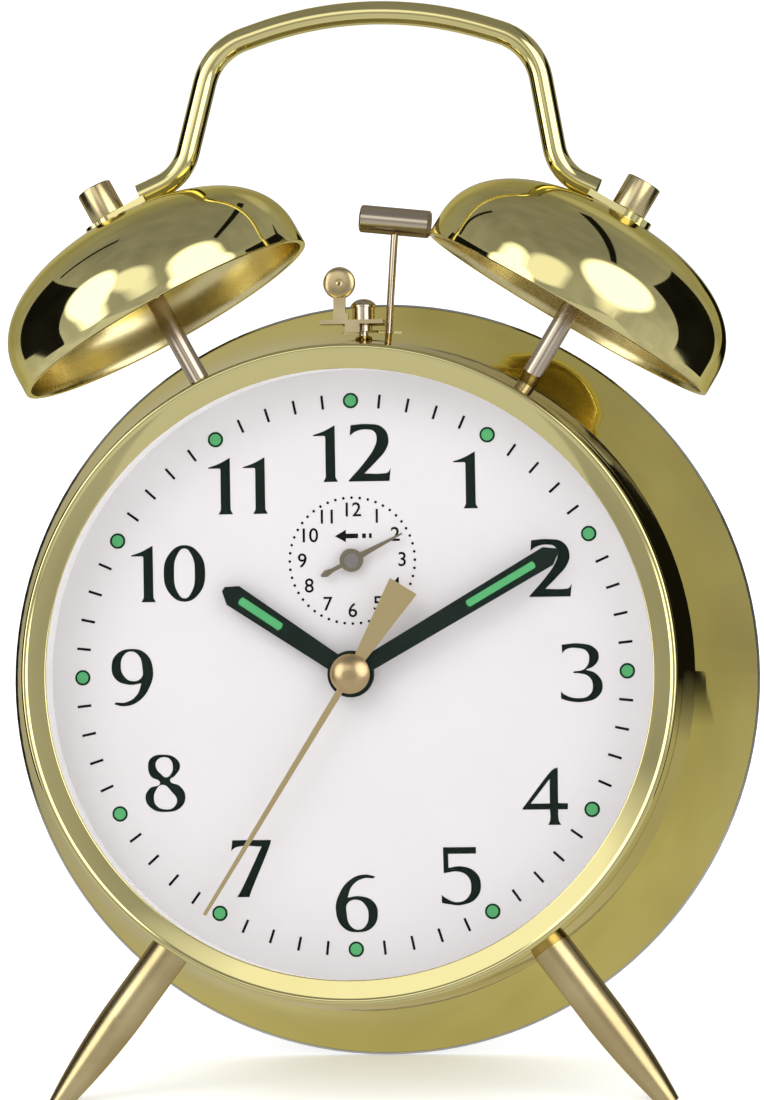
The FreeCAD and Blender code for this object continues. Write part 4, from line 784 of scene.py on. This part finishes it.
def cloth_or_clear(name, strength):
    """A lit cloth that is clear where the returned socket is 0, and solid where it is 1."""
    material, tree, light = lit_material(name, strength)
    clear = tree.nodes.new("ShaderNodeBsdfTransparent")
    mixed = tree.nodes.new("ShaderNodeMixShader")
    tree.links.new(clear.outputs["BSDF"], mixed.inputs[1])
    tree.links.new(light.outputs["Emission"], mixed.inputs[2])
    show(tree, mixed.outputs["Shader"])
    return material, tree, mixed.inputs["Fac"]


def soft_cloth(name, strength, edge):
    """The front of a softbox, whose light dies away over an oval edge."""
    material, tree, solid = cloth_or_clear(name, strength)
    place = tree.nodes.new("ShaderNodeTexCoord")
    centred = tree.nodes.new("ShaderNodeMapping")
    centred.inputs["Location"].default_value = (-1, -1, 0)
    centred.inputs["Scale"].default_value = (2, 2, 0)
    tree.links.new(place.outputs["Generated"], centred.inputs["Vector"])
    oval = tree.nodes.new("ShaderNodeTexGradient")
    oval.gradient_type = "SPHERICAL"
    tree.links.new(centred.outputs["Vector"], oval.inputs["Vector"])
    cover = ramp(tree, oval.outputs["Fac"], [(0.0, (0, 0, 0)), (edge, (1, 1, 1))])
    tree.links.new(cover.outputs["Color"], solid)
    return material


def own_share(tree, direction):
    """How far across its own box a point of the piece lies, from 0 to 1."""
    place = tree.nodes.new("ShaderNodeTexCoord")
    parts = tree.nodes.new("ShaderNodeSeparateXYZ")
    tree.links.new(place.outputs["Generated"], parts.inputs["Vector"])
    return parts.outputs[direction]


def hanging_cloth(name, strength, edge):
    """A cloth that fades out towards its lower end."""
    material, tree, solid = cloth_or_clear(name, strength)
    cover = ramp(tree, own_share(tree, "Y"), [(0.0, (0, 0, 0)), (edge, (1, 1, 1))])
    tree.links.new(cover.outputs["Color"], solid)
    return material


def only_reflected(thing):
    """Shows only in polished surfaces, and casts no light or shadow of its own."""
    thing.visible_camera = False
    thing.visible_shadow = False
    thing.visible_diffuse = False
    thing.visible_transmission = False


def card(name, azimuth, elevation, distance, size, material, slope=0.0):
    """A studio card that shows in the polished brass; slope trims one side towards its top."""
    width, height = size[0] / 2, size[1] / 2
    mesh = bpy.data.meshes.new(name)
    mesh.from_pydata([(-width, -height, 0), (width, -height, 0), (width - slope, height, 0),
                      (-width, height, 0)], [], [(0, 1, 2, 3)])
    mesh.materials.append(material)
    panel = bpy.data.objects.new(name, mesh)
    bpy.context.scene.collection.objects.link(panel)
    panel.location = studio_place(azimuth, elevation, distance)
    panel.rotation_euler = (STUDIO_CENTRE - panel.location).to_track_quat("Z", "Y").to_euler()
    only_reflected(panel)


def tent_cloth():
    """Cloth of the light tent: bright near the floor, darker overhead, faintly cloudy."""
    material = glow("tent_cloth", (0.88, 0.88, 0.88), (1.12, 1.12, 1.12))
    tree = material.node_tree
    levels = ((0.0, 0.50), (0.28, 0.60), (0.47, 0.41), (0.70, 0.38), (0.90, 0.26))
    shade = ramp(tree, own_share(tree, "Z"),
                 [(height, (level, level, level)) for height, level in levels])
    tree.links.new(shade.outputs["Color"], tree.nodes["Emission"].inputs["Strength"])
    return material


def tent():
    """A light tent round the clock, seen only in the polished brass."""
    rings, segments = 16, 32
    points, faces = [], []
    for ring in range(rings + 1):
        for segment in range(segments):
            points.append(studio_place(360 * segment / segments, 180 * ring / rings - 90,
                                       TENT_RADIUS))
    for ring in range(rings):
        for segment in range(segments):
            right = (segment + 1) % segments
            faces.append((ring * segments + segment, ring * segments + right,
                          (ring + 1) * segments + right, (ring + 1) * segments + segment))
    mesh = bpy.data.meshes.new("tent")
    mesh.from_pydata(points, [], faces)
    mesh.materials.append(tent_cloth())
    walls = bpy.data.objects.new("tent", mesh)
    bpy.context.scene.collection.objects.link(walls)
    only_reflected(walls)


def floor():
    """A large pale floor."""
    mesh = bpy.data.meshes.new("floor")
    half = FLOOR_HALF_WIDTH
    mesh.from_pydata([(-half, -half, 0), (half, -half, 0), (half, half, 0), (-half, half, 0)], [],
                     [(0, 1, 2, 3)])
    paper = paint("floor_paper", (0.95, 0.95, 0.95), (0.94, 0.94, 0.94), (0.9, 0.95), 400,
                  relief=0.01, specular=0.1)
    sheet = paper.node_tree.nodes["Principled BSDF"]
    sheet.inputs["Emission Color"].default_value = (1, 1, 1, 1)
    sheet.inputs["Emission Strength"].default_value = FLOOR_GLOW
    mesh.materials.append(paper)
    plane = bpy.data.objects.new("floor", mesh)
    bpy.context.scene.collection.objects.link(plane)
    plane.visible_glossy = False


def world():
    """An even white studio around everything."""
    surroundings = bpy.data.worlds.new("studio")
    bpy.context.scene.world = surroundings
    surroundings.use_nodes = True
    background = surroundings.node_tree.nodes["Background"]
    background.inputs["Color"].default_value = (1.0, 1.0, 1.0, 1)
    background.inputs["Strength"].default_value = WORLD_LIGHT


dress_nodes()
for bell_side in BELLS:
    bell_shell(bell_side)
    cap_nut(bell_side)
bezel()
lever_paddle()
hour_numerals()
minute_track()
hour_dots()
alarm_numerals()
alarm_track()
back_arrows()
hand_inlay("hour_inlay", HOUR_INLAY, HOUR_HAND_ANGLE, HOUR_HAND_FRONT, "hour_hand")
hand_inlay("minute_inlay", MINUTE_INLAY, MINUTE_HAND_ANGLE, MINUTE_HAND_FRONT, "minute_hand")

make_camera()
world()
floor()
tent()
softbox("key_light", -35, 40, 1.2, (0.7, 0.7), 4)
softbox("fill_light", 50, 20, 1.2, (0.6, 0.8), 2)
WHITE = soft_cloth("softbox_cloth", 2.3, 0.22)
CREAM = soft_cloth("upper_cloth", 1.15, 0.35)
PALE = soft_cloth("pale_cloth", 0.55, 0.5)
TABLE = glow("table_cloth", (0.60, 0.60, 0.60), (0.68, 0.68, 0.68))
BLACK = glow("black_card", (0.004, 0.004, 0.004), (0.012, 0.012, 0.012))
SHADE = hanging_cloth("black_cloth", 0.008, 0.2)

# Each card has its name, azimuth, elevation, distance, size and cloth, and then any slope.
CARDS = (
    ("softbox_left", -48, 17, 1.0, (0.78, 0.97), WHITE),
    ("softbox_upper", -16, 26, 1.05, (0.78, 0.56), CREAM),
    ("softbox_right", 45, 22, 1.0, (1.14, 1.08), WHITE),
    ("pale_left", -162, 14, 1.1, (0.6, 0.8), PALE),
    ("pale_right", 162, 34, 1.1, (0.6, 0.3), PALE),
    ("table_front", 0, -34, 1.2, (1.9, 1.35), TABLE),
    ("flag_left", -94, 6, 1.1, (1.07, 0.98), BLACK),
    ("flag_right", 112, 2, 1.1, (1.02, 1.2), BLACK),
    ("seam_right", 112, 57, 1.1, (1.2, 0.08), BLACK),
    ("seam_left", -112, 44, 1.1, (0.06, 0.5), BLACK),
    ("flag_behind", 159, -1, 1.05, (0.446, 0.44), SHADE, 0.25),
)
for studio_card in CARDS:
    card(*studio_card)
